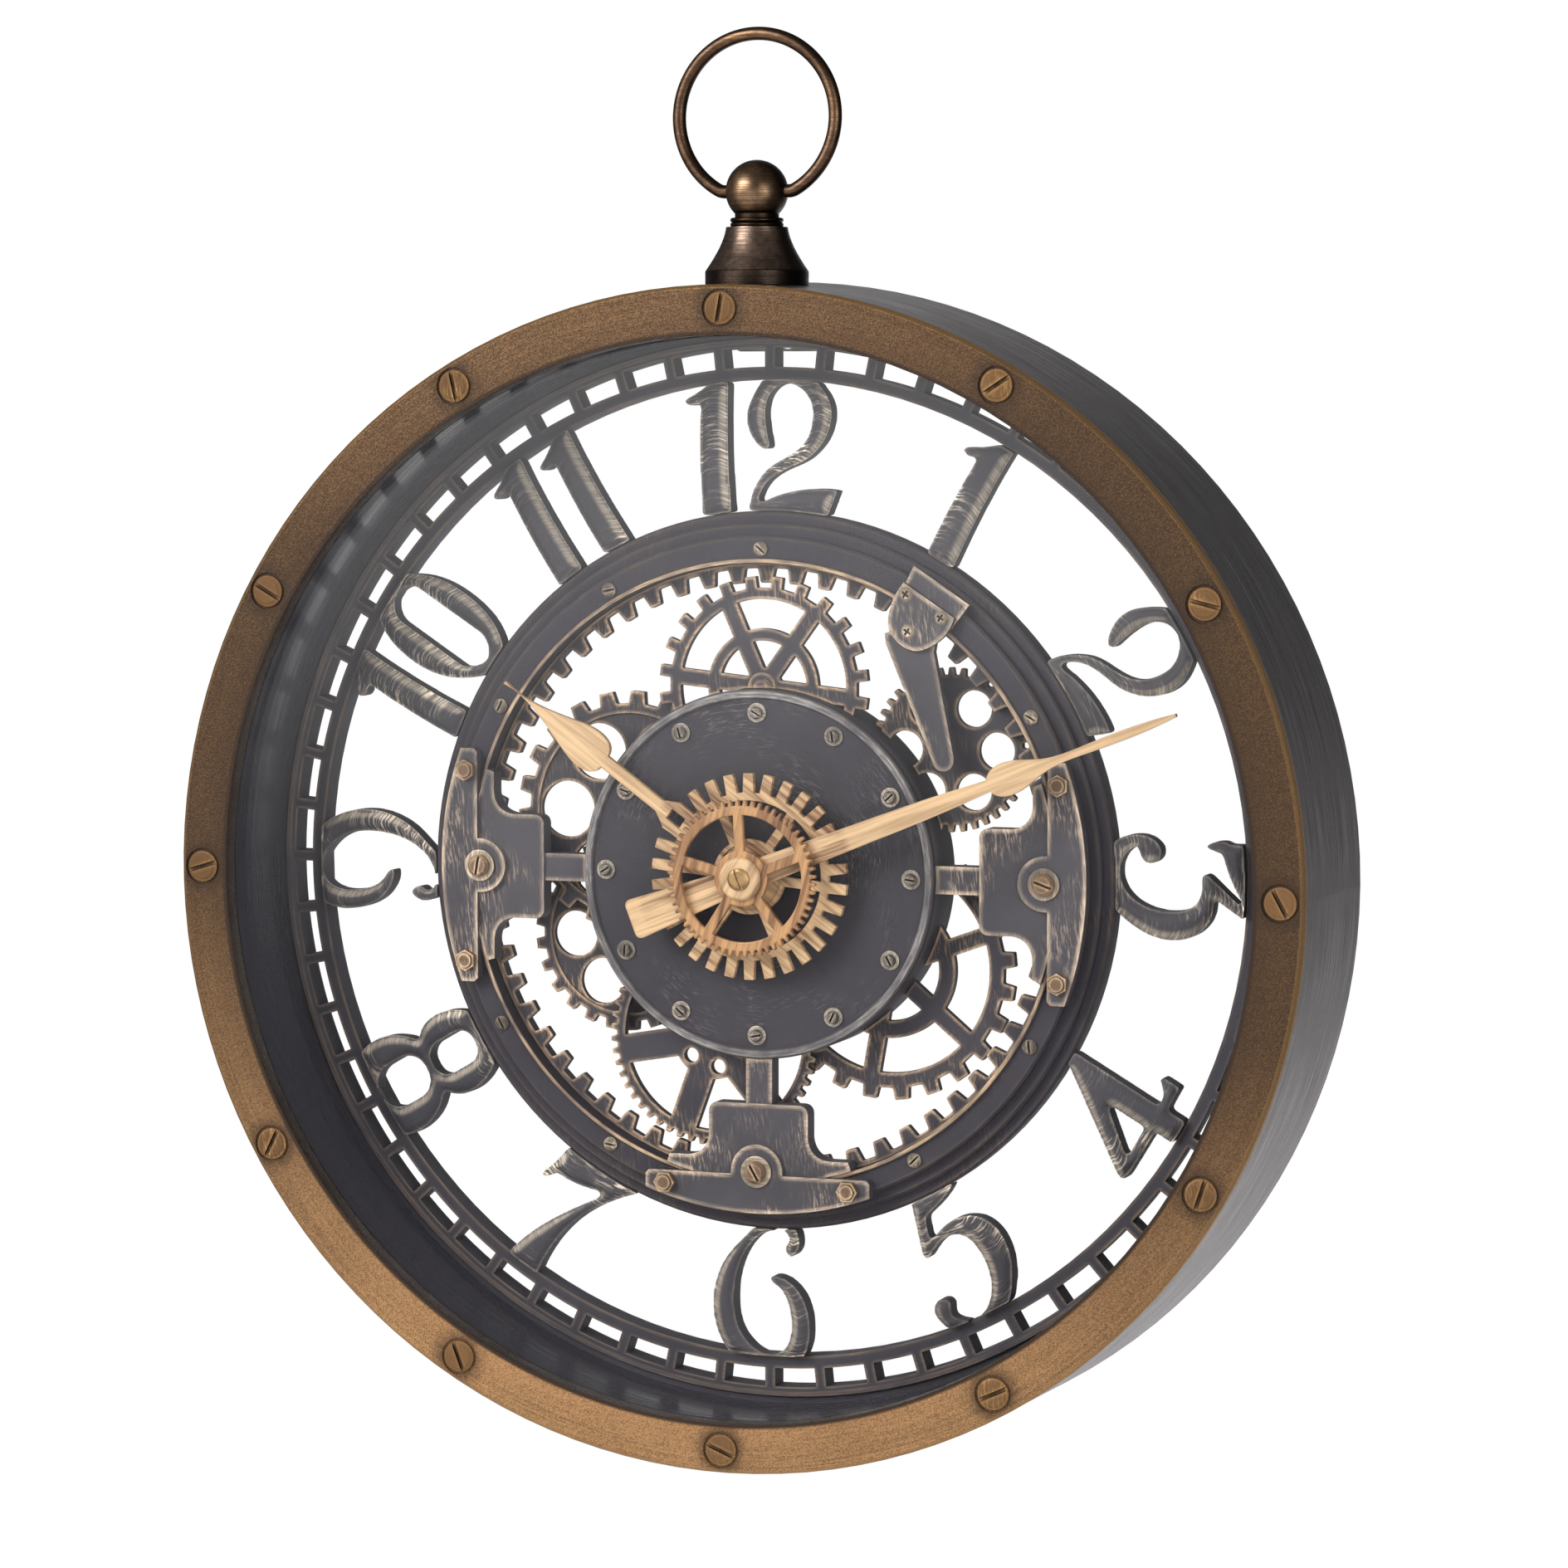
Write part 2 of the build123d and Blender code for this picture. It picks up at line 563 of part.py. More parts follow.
# Pendant bell, hollowed under to sit on the drum
drum_outside = turned((0, 0), (DRUM_BACK_R + SEAT_GAP, 0), (BEZEL_R + SEAT_GAP, DRUM_FRONT), (0,
                      DRUM_FRONT))
pendant_plane = Plane((0, -PENDANT_HEIGHT, 0), x_dir=(1, 0, 0), z_dir=(0, -1, 0))
pendant_axis = Axis((0, -PENDANT_HEIGHT, 0), (0, 0, 1))
base_low = PENDANT_FOOT - PENDANT_BASE
base_top = PENDANT_FOOT + PENDANT_BASE
bell_bore = STUD_R + SCREW_GAP
flare_span = PENDANT_BASE_R - PENDANT_TOP_R
bell_profile = outline(
    ((bell_bore, base_low), (PENDANT_BASE_R, base_low)),
    ((PENDANT_BASE_R, base_low), (PENDANT_BASE_R, base_top)),
    ((PENDANT_BASE_R, base_top), (PENDANT_TOP_R + flare_span * 0.52, base_top + PENDANT_FLARE * 0.36),
     (PENDANT_TOP_R + flare_span * 0.14, base_top + PENDANT_FLARE * 0.74), (PENDANT_TOP_R, BELL_TOP)),
    ((PENDANT_TOP_R, BELL_TOP), (bell_bore, BELL_TOP)),
    ((bell_bore, BELL_TOP), (bell_bore, base_low)),
)
save("pendant_bell", revolve(pendant_plane * bell_profile, pendant_axis) - drum_outside)

# Pendant ball with its collar, neck and stud
stud_low = PENDANT_FOOT - STUD_BELOW
bead = COLLAR / COLLAR_BEADS
groove_r = COLLAR_R - bead / 2
bead_lows = [BELL_TOP + n * bead for n in range(COLLAR_BEADS)]
ball_profile = make_face([
    Polyline((0, BALL_Z + BALL_R), (0, stud_low), (STUD_R, stud_low), (STUD_R, BELL_TOP),
             (groove_r, BELL_TOP)),
    *[ThreePointArc((groove_r, low), (COLLAR_R, low + bead / 2), (groove_r, low + bead))
      for low in bead_lows],
    Polyline((groove_r, BELL_TOP + COLLAR), (NECK_R, BELL_TOP + COLLAR), (NECK_R, BALL_LOW)),
    ThreePointArc((NECK_R, BALL_LOW), (BALL_R, BALL_Z), (0, BALL_Z + BALL_R)),
])
ball = revolve(pendant_plane * ball_profile, pendant_axis)
across = Plane((0, -PENDANT_HEIGHT, BALL_Z), x_dir=(0, 1, 0), z_dir=(1, 0, 0))
for side in (1, -1):
    bore_from = across.offset(side * (BOW_PIN_REACH - BOW_END_GAP))
    ball -= extrude(bore_from * Circle(WIRE_R + RUNNING_GAP), amount=side * BALL_R)
save("pendant_ball", ball)

# Washer and nut on the stud, inside the drum
washer_top = sqrt(wall_in(PENDANT_HEIGHT + PENDANT_WASHER_R) ** 2 - PENDANT_WASHER_R ** 2) - SEAT_GAP
nut_top = washer_top - PENDANT_WASHER_T
nut_hole = Circle(STUD_R + THREAD_GAP)
nut_face = RegularPolygon(PENDANT_NUT_ACROSS / 2, 6, major_radius=False) - nut_hole
save("pendant_washer", extrude(stud_axis.offset(nut_top) * (Circle(PENDANT_WASHER_R) - nut_hole),
                               amount=PENDANT_WASHER_T))
save("pendant_nut", extrude(stud_axis.offset(nut_top - PENDANT_NUT_T) * nut_face, amount=PENDANT_NUT_T))

# Bow ring: one wire, whose ends turn in to the ball as its pivots
bow_drop = BOW_R * cos(radians(BOW_GAP_ANGLE)) + BOW_BEND_R * (1 - cos(radians(BOW_GAP_ANGLE)))
bow_mid = BALL_Z + bow_drop
end_x = BOW_R * sin(radians(BOW_GAP_ANGLE))
end_z = bow_mid - BOW_R * cos(radians(BOW_GAP_ANGLE))
turn_x = (BOW_R - BOW_BEND_R) * sin(radians(BOW_GAP_ANGLE))
half_turn = radians(BOW_GAP_ANGLE / 2)
bend_x = turn_x + BOW_BEND_R * sin(half_turn)
bend_z = BALL_Z + BOW_BEND_R * (1 - cos(half_turn))
bow_path = Wire([
    Line((-BOW_PIN_REACH, BALL_Z), (-turn_x, BALL_Z)),
    ThreePointArc((-turn_x, BALL_Z), (-bend_x, bend_z), (-end_x, end_z)),
    ThreePointArc((-end_x, end_z), (0, bow_mid + BOW_R), (end_x, end_z)),
    ThreePointArc((end_x, end_z), (bend_x, bend_z), (turn_x, BALL_Z)),
    Line((turn_x, BALL_Z), (BOW_PIN_REACH, BALL_Z)),
])
bow_start = across.offset(-BOW_PIN_REACH)
save("bow_ring", sweep(bow_start * Circle(WIRE_R), path=pendant_plane * bow_path))

# Keyhole hanger under the rear flange, and its screws
hanger_top = DRUM_FLANGE_LOW
hanger_mid = (HANGER_LOW_Z + HANGER_HIGH_Z) / 2
keyslot = Pos(0, KEYHOLE_Z + KEYSLOT_TOP / 2) * Rectangle(KEYSLOT_W, KEYSLOT_TOP)
keyslot += disc(KEYSLOT_W / 2, 0, KEYHOLE_Z + KEYSLOT_TOP)
hanger_face = Pos(0, hanger_mid) * RectangleRounded(HANGER_W, HANGER_HIGH_Z - HANGER_LOW_Z, KEYSLOT_W / 2)
hanger_face -= [disc(KEYHOLE_R, 0, KEYHOLE_Z), keyslot]
hanger_face -= [disc(HANGER_SCREW_R + SCREW_GAP, x, HANGER_SCREW_Z) for x in (-HANGER_SCREW_X,
                HANGER_SCREW_X)]
save("keyhole_hanger", slab(hanger_face, hanger_top - HANGER_T, hanger_top))
hanger_screw = rear_screw(HANGER_SCREW_HEAD_R, HANGER_SCREW_HEAD, HANGER_SCREW_R, HANGER_T + 3 * DRUM_WALL,
                          hanger_top - HANGER_T)
save("hanger_screws", Compound(children=[
    Pos(x, 0, HANGER_SCREW_Z) * hanger_screw for x in (-HANGER_SCREW_X, HANGER_SCREW_X)]))

# Chapter ring with its minute windows, outer bead and rear skirt
bead_in = BEAD_R - BEAD_W / 2
bead_out = BEAD_R + BEAD_W / 2
bead_top = CHAPTER_FRONT + BEAD_H
DISC_BEAD_SLOPE = BEAD_W / 4
flange_front = CHAPTER_BACK + CHAPTER_FLANGE_T
chapter = turned((CHAPTER_R, CHAPTER_BACK), (CHAPTER_R, CHAPTER_FRONT), (bead_in, CHAPTER_FRONT),
                 (bead_in + DISC_BEAD_SLOPE, bead_top), (bead_out - DISC_BEAD_SLOPE, bead_top), (bead_out,
                                                                                       CHAPTER_FRONT),
                 (shroud_out, CHAPTER_FRONT), (shroud_out, flange_front), (SKIRT_OUT_R, flange_front),
                 (SKIRT_OUT_R, SKIRT_BACK), (SKIRT_OUT_R - SKIRT_T, SKIRT_BACK), (SKIRT_OUT_R - SKIRT_T,
                                                                                  CHAPTER_BACK))
windows = annulus(WINDOW_OUT_R, WINDOW_IN_R) - spokes(WINDOWS, WINDOW_OUT_R + BEAD_W, BAR_W)
chapter -= slab(windows, CHAPTER_BACK - BEAD_H, CHAPTER_FRONT + BEAD_H)
skirt_hole = round_hole(DIAL_SCREW_R + THREAD_GAP, 0, CHAPTER_BACK)
chapter -= [placed(skirt_hole, dial_screw_at, a) for a in dial_screw_angles]
save("chapter_ring", chapter)
dial_screw = rear_screw(DIAL_SCREW_HEAD_R, DIAL_SCREW_HEAD, DIAL_SCREW_R,
                        CHAPTER_BACK - DRUM_FLANGE_LOW - BEAD_H,
                        DRUM_FLANGE_LOW)
save("dial_screws", Compound(children=[placed(dial_screw, dial_screw_at, a) for a in dial_screw_angles]))


# Numerals, drawn upright with the foot on y = 0 and the top at y = FIGURE_TALL


def figure_one():
    """A stem that spreads at the foot, with a flag at the top left."""
    return outline(
        ((6, -2), (4.6, 18), (4.2, 38), (4.8, 54)),
        ((4.8, 54), (1, 54)),
        ((1, 54), (-5, 48.6), (-12.2, 44.2)),
        ((-12.2, 44.2), (-13.4, 42.6), (-11.6, 41.3), (-8.6, 42.4)),
        ((-8.6, 42.4), (-6.8, 41.4)),
        ((-6.8, 41.4), (-7.1, 22), (-6, -2)),
        ((-6, -2), (6, -2)),
    )


def figure_two():
    """A swan neck with a hooked head, on a leaf-shaped foot."""
    return outline(
        ((-9, 54), (-15, 45), (-17.5, 37), (-15, 28.5), (-10.6, 24.2)),
        ((-10.6, 24.2), (-8.5, 24.6), (-8.5, 27)),
        ((-8.5, 27), (-10, 36), (-8.3, 45.6), (-4, 49.4), (0, 50), (5.5, 47.6), (9.4, 42), (9.8, 35),
         (7, 27.4), (0, 21.6), (-8, 17), (-13.5, 10.5), (-16.6, -2)),
        ((-16.6, -2), (16, -2)),
        ((16, -2), (20, 8.2)),
        ((20, 8.2), (12, 8.8), (2, 7.8), (-6, 5.6), (-11.4, 3.3)),
        ((-11.4, 3.3), (-13, 4), (-12.4, 6)),
        ((-12.4, 6), (-9.5, 11), (-3, 15.6), (6, 19.5), (13, 25.5), (17, 33.5), (17, 42), (12.5, 49.5),
         (9, 54)),
        ((9, 54), (-9, 54)),
    )


def figure_three():
    """A flat top with a serif, a thin diagonal and a round bowl that ends in a ball."""
    return outline(
        ((-16.5, 54), (-16.2, 45)),
        ((-16.2, 45), (-17.3, 40), (-15.4, 36.3), (-13.6, 39.6), (-12.8, 42.5)),
        ((-12.8, 42.5), (-4, 45.4), (5.4, 50.2)),
        ((5.4, 50.2), (6.9, 50.2), (6.5, 48.8)),
        ((6.5, 48.8), (-4, 37.4)),
        ((-4, 37.4), (-4.6, 35.6), (-3, 34.4)),
        ((-3, 34.4), (2, 34.4), (7, 32.2), (10, 25), (9, 14), (4, 5.5), (-5, 1.8), (-12.4, 4.6), (-15,
         9.4)),
        ((-15, 9.4), (-12, 9.8), (-8.4, 12.6), (-9.4, 17), (-13, 18.4), (-17.4, 15.4), (-19.3, 8), (-15,
         -2)),
        ((-15, -2), (8, -2)),
        ((8, -2), (15.5, 6.5), (20.4, 16.5), (21, 26), (17.4, 34.4), (11, 38.6), (4.4, 39)),
        ((4.4, 39), (14.6, 54)),
        ((14.6, 54), (-16.5, 54)),
    )


def figure_four():
    """A pointed top, a three-cornered eye and a flared cross bar."""
    body = outline(
        ((-3.6, -2), (-3.6, 8.4)),
        ((-3.6, 8.4), (-22.5, 8.8)),
        ((-22.5, 8.8), (-26.2, 9.8), (-25, 14)),
        ((-25, 14), (2.6, 54)),
        ((2.6, 54), (6, 54)),
        ((6, 54), (6, 12.6)),
        ((6, 12.6), (10.4, 12.8), (13.4, 15), (14.8, 16.8)),
        ((14.8, 16.8), (16.6, 16.4)),
        ((16.6, 16.4), (16.6, 8.6)),
        ((16.6, 8.6), (6.4, 8.4)),
        ((6.4, 8.4), (6.4, -2)),
        ((6.4, -2), (-3.6, -2)),
    )
    return body - polygon((-4.2, 30.4), (-18.6, 12.7), (-4.2, 12.7))


def figure_five():
    """A sail-shaped flag on a thin stem, over a round bowl that ends in a ball."""
    return outline(
        ((-12, 54), (-18.4, 32.4)),
        ((-18.4, 32.4), (-17.6, 30.2), (-15.4, 30.8)),
        ((-15.4, 30.8), (-10.5, 33.2), (-5, 34), (0.4, 31.4), (3.2, 24), (2.4, 13), (-2, 5), (-7.5, 1.2),
         (-13, 0.9),
         (-18, 3.8)),
        ((-18, 3.8), (-19.3, 7.2), (-17.6, 10.8), (-20.4, 13.7), (-25, 11.4), (-25.2, 6.4), (-20.4, -2)),
        ((-20.4, -2), (2, -2)),
        ((2, -2), (9.8, 7.4), (13.9, 17), (14.4, 26), (10.8, 34), (4, 38.2), (-4, 38.4), (-11.4, 35.8)),
        ((-11.4, 35.8), (-12.8, 36.8)),
        ((-12.8, 36.8), (-10.3, 44.7)),
        ((-10.3, 44.7), (-4, 46.3), (3, 49), (10, 54)),
        ((10, 54), (-12, 54)),
    )


def figure_six():
    """A heavy left stroke, a thin tail with a ball and a bowl that ends in a point."""
    return outline(
        ((-4, 54), (-10, 47.4), (-16.4, 40.6), (-20.8, 32.6), (-23, 23.6), (-22.4, 14), (-19.4, 5.6),
         (-13, -2)),
        ((-13, -2), (13.5, -2)),
        ((13.5, -2), (17.2, 5.6), (17.6, 15), (15.4, 23.2), (10.4, 29.6), (4, 32.6)),
        ((4, 32.6), (1.1, 32), (2.4, 29.9)),
        ((2.4, 29.9), (7, 25.8), (9.7, 18.4), (9.8, 9), (6.8, 3), (0.6, 0.8), (-6.6, 3.8), (-12, 10.4),
         (-14.3, 22),
         (-13, 33), (-8.8, 42.8), (-3, 48.8), (3.4, 51)),
        ((3.4, 51), (8.3, 50), (9.5, 46.4)),
        ((9.5, 46.4), (7.7, 43), (9.8, 40.7), (12.8, 43.4), (13.2, 48.2), (10, 54)),
        ((10, 54), (-4, 54)),
    )


def figure_seven():
    """A waved flag with a small serif, and a leaf-shaped diagonal."""
    return outline(
        ((-16.6, 54), (-18.6, 44), (-21, 38)),
        ((-21, 38), (-20.2, 36.4), (-18.4, 37.6)),
        ((-18.4, 37.6), (-15.6, 40.8)),
        ((-15.6, 40.8), (-8, 41.2), (2.6, 44)),
        ((2.6, 44), (4.6, 43.4), (4, 41.2)),
        ((4, 41.2), (-5.6, 27.4), (-12.6, 15), (-18, -2)),
        ((-18, -2), (-2.4, -2)),
        ((-2.4, -2), (-3, 10), (0, 26), (7, 39.6), (19.4, 54)),
        ((19.4, 54), (-16.6, 54)),
    )


def figure_eight():
    """Two loops, the lower one larger, with rounded eyes."""
    side = ((17.4, -2), (20.6, 9), (17.8, 19), (11, 26.4))
    top = ((11, 26.4), (16, 32), (17, 40.4), (14.4, 48), (9.6, 54))
    body = outline(
        side, top, ((9.6, 54), (-9.6, 54)),
        tuple((-x, y) for x, y in reversed(top)), tuple((-x, y) for x, y in reversed(side)),
        ((-17.4, -2), (17.4, -2)),
    )
    upper_eye = Pos(0, 37.8) * RectangleRounded(14, 21.2, 6)
    lower_eye = Pos(0, 12.2) * RectangleRounded(18, 23.4, 8)
    return body - upper_eye - lower_eye


def figure_nought():
    """An upright oval with a long eye."""
    body = outline(
        ((-7.6, 54), (-14.4, 45), (-17.4, 34), (-17.8, 25), (-15.4, 13.6), (-10.4, 4.6), (-4.4, -2)),
        ((-4.4, -2), (6.4, -2)),
        ((6.4, -2), (13.4, 6.6), (17, 18), (17.8, 28), (16.4, 39), (12.8, 47.6), (8.4, 54)),
        ((8.4, 54), (-7.6, 54)),
    )
    eye = outline(
        ((-8.3, 10.2), (-5, 5), (0, 2.2), (5, 5), (7.6, 12)),
        ((7.6, 12), (9.2, 43)),
        ((9.2, 43), (6.4, 47.4), (1.4, 49.4), (-4, 47), (-6.6, 42)),
        ((-6.6, 42), (-8.3, 10.2)),
    )
    return body - eye


def figure_nine():
    """A six turned end for end."""
    return Pos(0, FIGURE_TALL) * Rot(0, 0, 180) * figure_six()


# Each hour's figures, with the place of each along the ring, and whether their tops point outwards
HOURS = {
    1: (((figure_one, 0),), True),
    2: (((figure_two, 0),), True),
    3: (((figure_three, 0),), True),
    4: (((figure_four, 0),), False),
    5: (((figure_five, 0),), False),
    6: (((figure_six, 0),), False),
    7: (((figure_seven, 0),), False),
    8: (((figure_eight, 0),), False),
    9: (((figure_nine, -3),), True),
    10: (((figure_one, -17.5), (figure_nought, 11.5)), True),
    11: (((figure_one, -14.3), (figure_one, 9)), True),
    12: (((figure_one, -21), (figure_two, 9)), True),
}
gap_ring = slab(annulus(CHAPTER_R - SEAT_GAP, INNER_RING_R + SEAT_GAP), NUMERAL_BACK, NUMERAL_FRONT)
figure_size = (CHAPTER_R - INNER_RING_R) / FIGURE_TALL
figure_solids = []
for hour, (figures, outwards) in HOURS.items():
    turn = 30 * hour if outwards else 30 * hour - 180
    for figure, place in figures:
        foot_r = INNER_RING_R if outwards else -CHAPTER_R
        foot = Pos(place * figure_size, foot_r)
        upright = slab(foot * scale(figure(), by=figure_size), NUMERAL_BACK, NUMERAL_FRONT)
        figure_solids += (clockwise(turn, upright) & gap_ring).solids()
save("numerals", Compound(children=figure_solids))

# Holes of what is screwed to the inner ring
bolt_spots = [(side * HEX_SIDE, HEX_R) for side in (-1, 1)]
bracket_angles = [30 * hour for hour in BRACKET_HOURS.values()]
ring_screw_angles = [30 * hour for hour in RING_SCREW_HOURS]
ring_bolt_low = BRACKET_BAR_FRONT - HEX_SHANK - 2 * HEX_SHANK_R
pawl_front = RING_FLAT + PAWL_TAB_T + PAWL_PLATE_T
pawl_shank = PAWL_PLATE_T + PAWL_TAB_T + RING_SCREW_SHANK / 2

# Stepped inner ring
ridge_out = INNER_RING_BORE_R + RIDGE_W
ridge_top = RING_FLAT + RIDGE_H
inner_ring = turned((INNER_RING_R, INNER_RING_BACK), (INNER_RING_R, STEP_ONE - STEP_EDGE),
                    (INNER_RING_R - STEP_EDGE, STEP_ONE),
                    (STEP_ONE_R, STEP_ONE), (STEP_ONE_R, STEP_TWO - STEP_EDGE), (STEP_ONE_R - STEP_EDGE,
                                                                                 STEP_TWO),
                    (STEP_TWO_R, STEP_TWO), (STEP_TWO_R, RING_FLAT - STEP_EDGE), (STEP_TWO_R - STEP_EDGE,
                                                                                  RING_FLAT),
                    (ridge_out, RING_FLAT), (ridge_out - RIDGE_W / 3, ridge_top),
                    (INNER_RING_BORE_R, ridge_top), (INNER_RING_BORE_R, INNER_RING_BACK))
ring_hole = round_hole(RING_SCREW_SHANK_R + THREAD_GAP, RING_FLAT - RING_SCREW_SHANK - STEP_EDGE, ridge_top)
inner_ring -= [placed(ring_hole, RING_SCREW_R, a) for a in ring_screw_angles]
ring_bolt_hole = round_hole(HEX_SHANK_R + THREAD_GAP, ring_bolt_low, BRACKET_BAR_FRONT)
inner_ring -= [clockwise(a, Pos(x, 0, z) * ring_bolt_hole) for a in bracket_angles for x, z in bolt_spots]
pawl_hole = round_hole(PAWL_SCREW_SHANK_R + THREAD_GAP, pawl_front - pawl_shank - STEP_EDGE, pawl_front)
inner_ring -= [Pos(x, 0, z) * pawl_hole for x, z in PAWL_SCREWS[:2]]
save("inner_ring", inner_ring)
ring_screw = slotted_screw(RING_SCREW_HEAD_R, RING_SCREW_HEAD, RING_SCREW_SHANK_R, RING_SCREW_SHANK,
                           RING_FLAT,
                           SLOT_W / 2, SLOT_DEPTH * 0.8)
save("ring_screws", Compound(children=[
    placed(ring_screw, RING_SCREW_R, a, 30 + 53 * i) for i, a in enumerate(ring_screw_angles)]))

# Ring gear with its teeth inwards
ring_teeth = toothed(RING_GEAR_TIP_R, RING_GEAR_ROOT_R, RING_GEAR_TEETH, 0.44, 0.62, 180 / RING_GEAR_TEETH)
ring_gear_face = Circle(INNER_RING_BORE_R - SEAT_GAP) - ring_teeth
save("ring_gear", slab(ring_gear_face, RING_GEAR_BACK, RING_GEAR_FRONT))

# Ornamental gears, each cut to stand against the wall of the centre disc
disc_room = turned((0, DISC_BACK), (DISC_R + SEAT_GAP, DISC_BACK), (DISC_R + SEAT_GAP, 2 * DISC_FRONT),
                   (0, 2 * DISC_FRONT))


def against_disc(centre, back, thick, face, recess=None):
    """A fixed gear at a point of the dial, with an optional shallow recess in its front."""
    gear = slab(face, back, back + thick)
    if recess is not None:
        gear -= slab(recess, back + thick - GEAR_RECESS, back + 2 * thick)
    standing = Pos(centre[0], 0, centre[1]) * gear - disc_room
    return max(standing.solids(), key=lambda solid: solid.volume)


def spoked(teeth_face, rim_r, hub_r, count, width, first, ring=None):
    """A gear face opened between its rim, its hub and its spokes, with an optional inner ring."""
    web = Circle(hub_r) + spokes(count, rim_r + width / 4, width, first)
    if ring is not None:
        web += annulus(*ring)
    return (teeth_face - Circle(rim_r)) + web


def holed(teeth_face, hole_r, circle_r, first):
    """A gear face with six round holes."""
    return teeth_face - [disc(hole_r, *polar(circle_r, a)) for a in even(6, first)]


top_face = spoked(toothed(TOP_GEAR_ROOT_R, TOP_GEAR_TIP_R, 24, 0.40, 0.46, 8.0), TOP_GEAR_RIM_R,
                  TOP_GEAR_HUB_R, 6, TOP_GEAR_SPOKE_W, 36.0, (TOP_GEAR_RING_R,
                                                              TOP_GEAR_RING_R - TOP_GEAR_RING_W))
top_gear = against_disc(TOP_GEAR, TOP_GEAR_BACK, GEAR_T, top_face)
top_front = TOP_GEAR_BACK + GEAR_T
rivet = turned((0, top_front), (RIVET_FLANGE_R, top_front), (RIVET_FLANGE_R, top_front + RIVET_FLANGE),
               (RIVET_R, top_front + RIVET_FLANGE), (RIVET_TOP_R, top_front + RIVET_TOP),
               (0, top_front + RIVET_TOP))
top_gear += Pos(TOP_GEAR[0], 0, TOP_GEAR[1]) * rivet - disc_room
save("top_gear", top_gear)

two_face = holed(toothed(TWO_GEAR_ROOT_R, TWO_GEAR_TIP_R, 40, 0.36, 0.60), TWO_GEAR_HOLE_R,
                 TWO_GEAR_HOLES_AT, 30)
save("fine_gear_two", against_disc(TWO_GEAR, TWO_GEAR_BACK, GEAR_T, two_face))

upper_face = holed(toothed(UPPER_GEAR_ROOT_R, UPPER_GEAR_TIP_R, 22, 0.42, 0.58, 4.0), UPPER_GEAR_HOLE_R,
                   UPPER_GEAR_HOLES_AT, 270)
save("upper_left_gear", against_disc(UPPER_GEAR, UPPER_GEAR_BACK, GEAR_T, upper_face,
     Circle(UPPER_GEAR_RECESS_R)))

lower_face = holed(toothed(LOWER_GEAR_ROOT_R, LOWER_GEAR_TIP_R, 25, 0.42, 0.58, 3.0), LOWER_GEAR_HOLE_R,
                   LOWER_GEAR_HOLES_AT, 268)
save("lower_left_gear", against_disc(LOWER_GEAR, LOWER_GEAR_BACK, GEAR_T, lower_face,
     Circle(LOWER_GEAR_RECESS_R)))

seven_face = spoked(toothed(SEVEN_GEAR_ROOT_R, SEVEN_GEAR_TIP_R, 54, 0.34, 0.62), SEVEN_GEAR_RIM_R,
                    SEVEN_GEAR_HUB_R, 6, SEVEN_GEAR_SPOKE_W, 20.0)
seven_face -= [disc(SEVEN_GEAR_HOLE_R, *polar(SEVEN_GEAR_HOLES_AT, a)) for a in even(6, 50)]
save("fine_gear_seven", against_disc(SEVEN_GEAR, SEVEN_GEAR_BACK, GEAR_T, seven_face))

right_face = spoked(toothed(RIGHT_GEAR_ROOT_R, RIGHT_GEAR_TIP_R, 24, 0.42, 0.54, 9.0), RIGHT_GEAR_RIM_R,
                    RIGHT_GEAR_HUB_R, 6, RIGHT_GEAR_SPOKE_W, 10.0,
                    (RIGHT_GEAR_RING_R, RIGHT_GEAR_RING_R - RIGHT_GEAR_RING_W))
save("lower_right_gear", against_disc(RIGHT_GEAR, RIGHT_GEAR_BACK, GEAR_T, right_face))

# T brackets, drawn at twelve o'clock
bx = BRACKET_BLOCK_HALF
sx = BRACKET_SHOULDER_HALF
low_r = BRACKET_BLOCK_IN_R
high_r = BRACKET_SHOULDER_R
half_block = outline(
    ((0, low_r), (bx - BRACKET_CORNER, low_r)),
    ((bx - BRACKET_CORNER, low_r), (bx - CORNER_SHARE * BRACKET_CORNER,
     low_r + CORNER_SHARE * BRACKET_CORNER),
     (bx, low_r + BRACKET_CORNER)),
    ((bx, low_r + BRACKET_CORNER), (bx, high_r - BRACKET_HOLLOW)),
    ((bx, high_r - BRACKET_HOLLOW), (bx + CORNER_SHARE * BRACKET_HOLLOW,
     high_r - CORNER_SHARE * BRACKET_HOLLOW),
     (bx + BRACKET_HOLLOW, high_r)),
    ((bx + BRACKET_HOLLOW, high_r), (sx, high_r)),
    ((sx, high_r), (sx + BRACKET_SLANT, high_r + 3 * BRACKET_SLANT)),
    ((sx + BRACKET_SLANT, high_r + 3 * BRACKET_SLANT), (sx + BRACKET_SLANT, INNER_RING_BORE_R)),
    ((sx + BRACKET_SLANT, INNER_RING_BORE_R), (0, INNER_RING_BORE_R)),
    ((0, INNER_RING_BORE_R), (0, low_r)))
block_face = (half_block + mirror(half_block, Plane.YZ)) & disc(INNER_RING_BORE_R - SEAT_GAP)
arm_face = Pos(0, (DISC_R + low_r) / 2) * Rectangle(BRACKET_ARM_W, low_r - DISC_R + 2)
bar_x = BRACKET_BAR_HALF
bar_r = BRACKET_BAR_IN_R
bar_face = polygon((bar_x - BRACKET_SLANT, bar_r), (bar_x, bar_r + BRACKET_SLANT), (bar_x,
                   BRACKET_BAR_OUT_R),
                   (-bar_x, BRACKET_BAR_OUT_R), (-bar_x, bar_r + BRACKET_SLANT), (BRACKET_SLANT - bar_x,
                                                                                  bar_r))
bar_face = (bar_face & disc(BRACKET_BAR_OUT_R)) + disc(BRACKET_BOSS_R, 0, PIVOT_R)
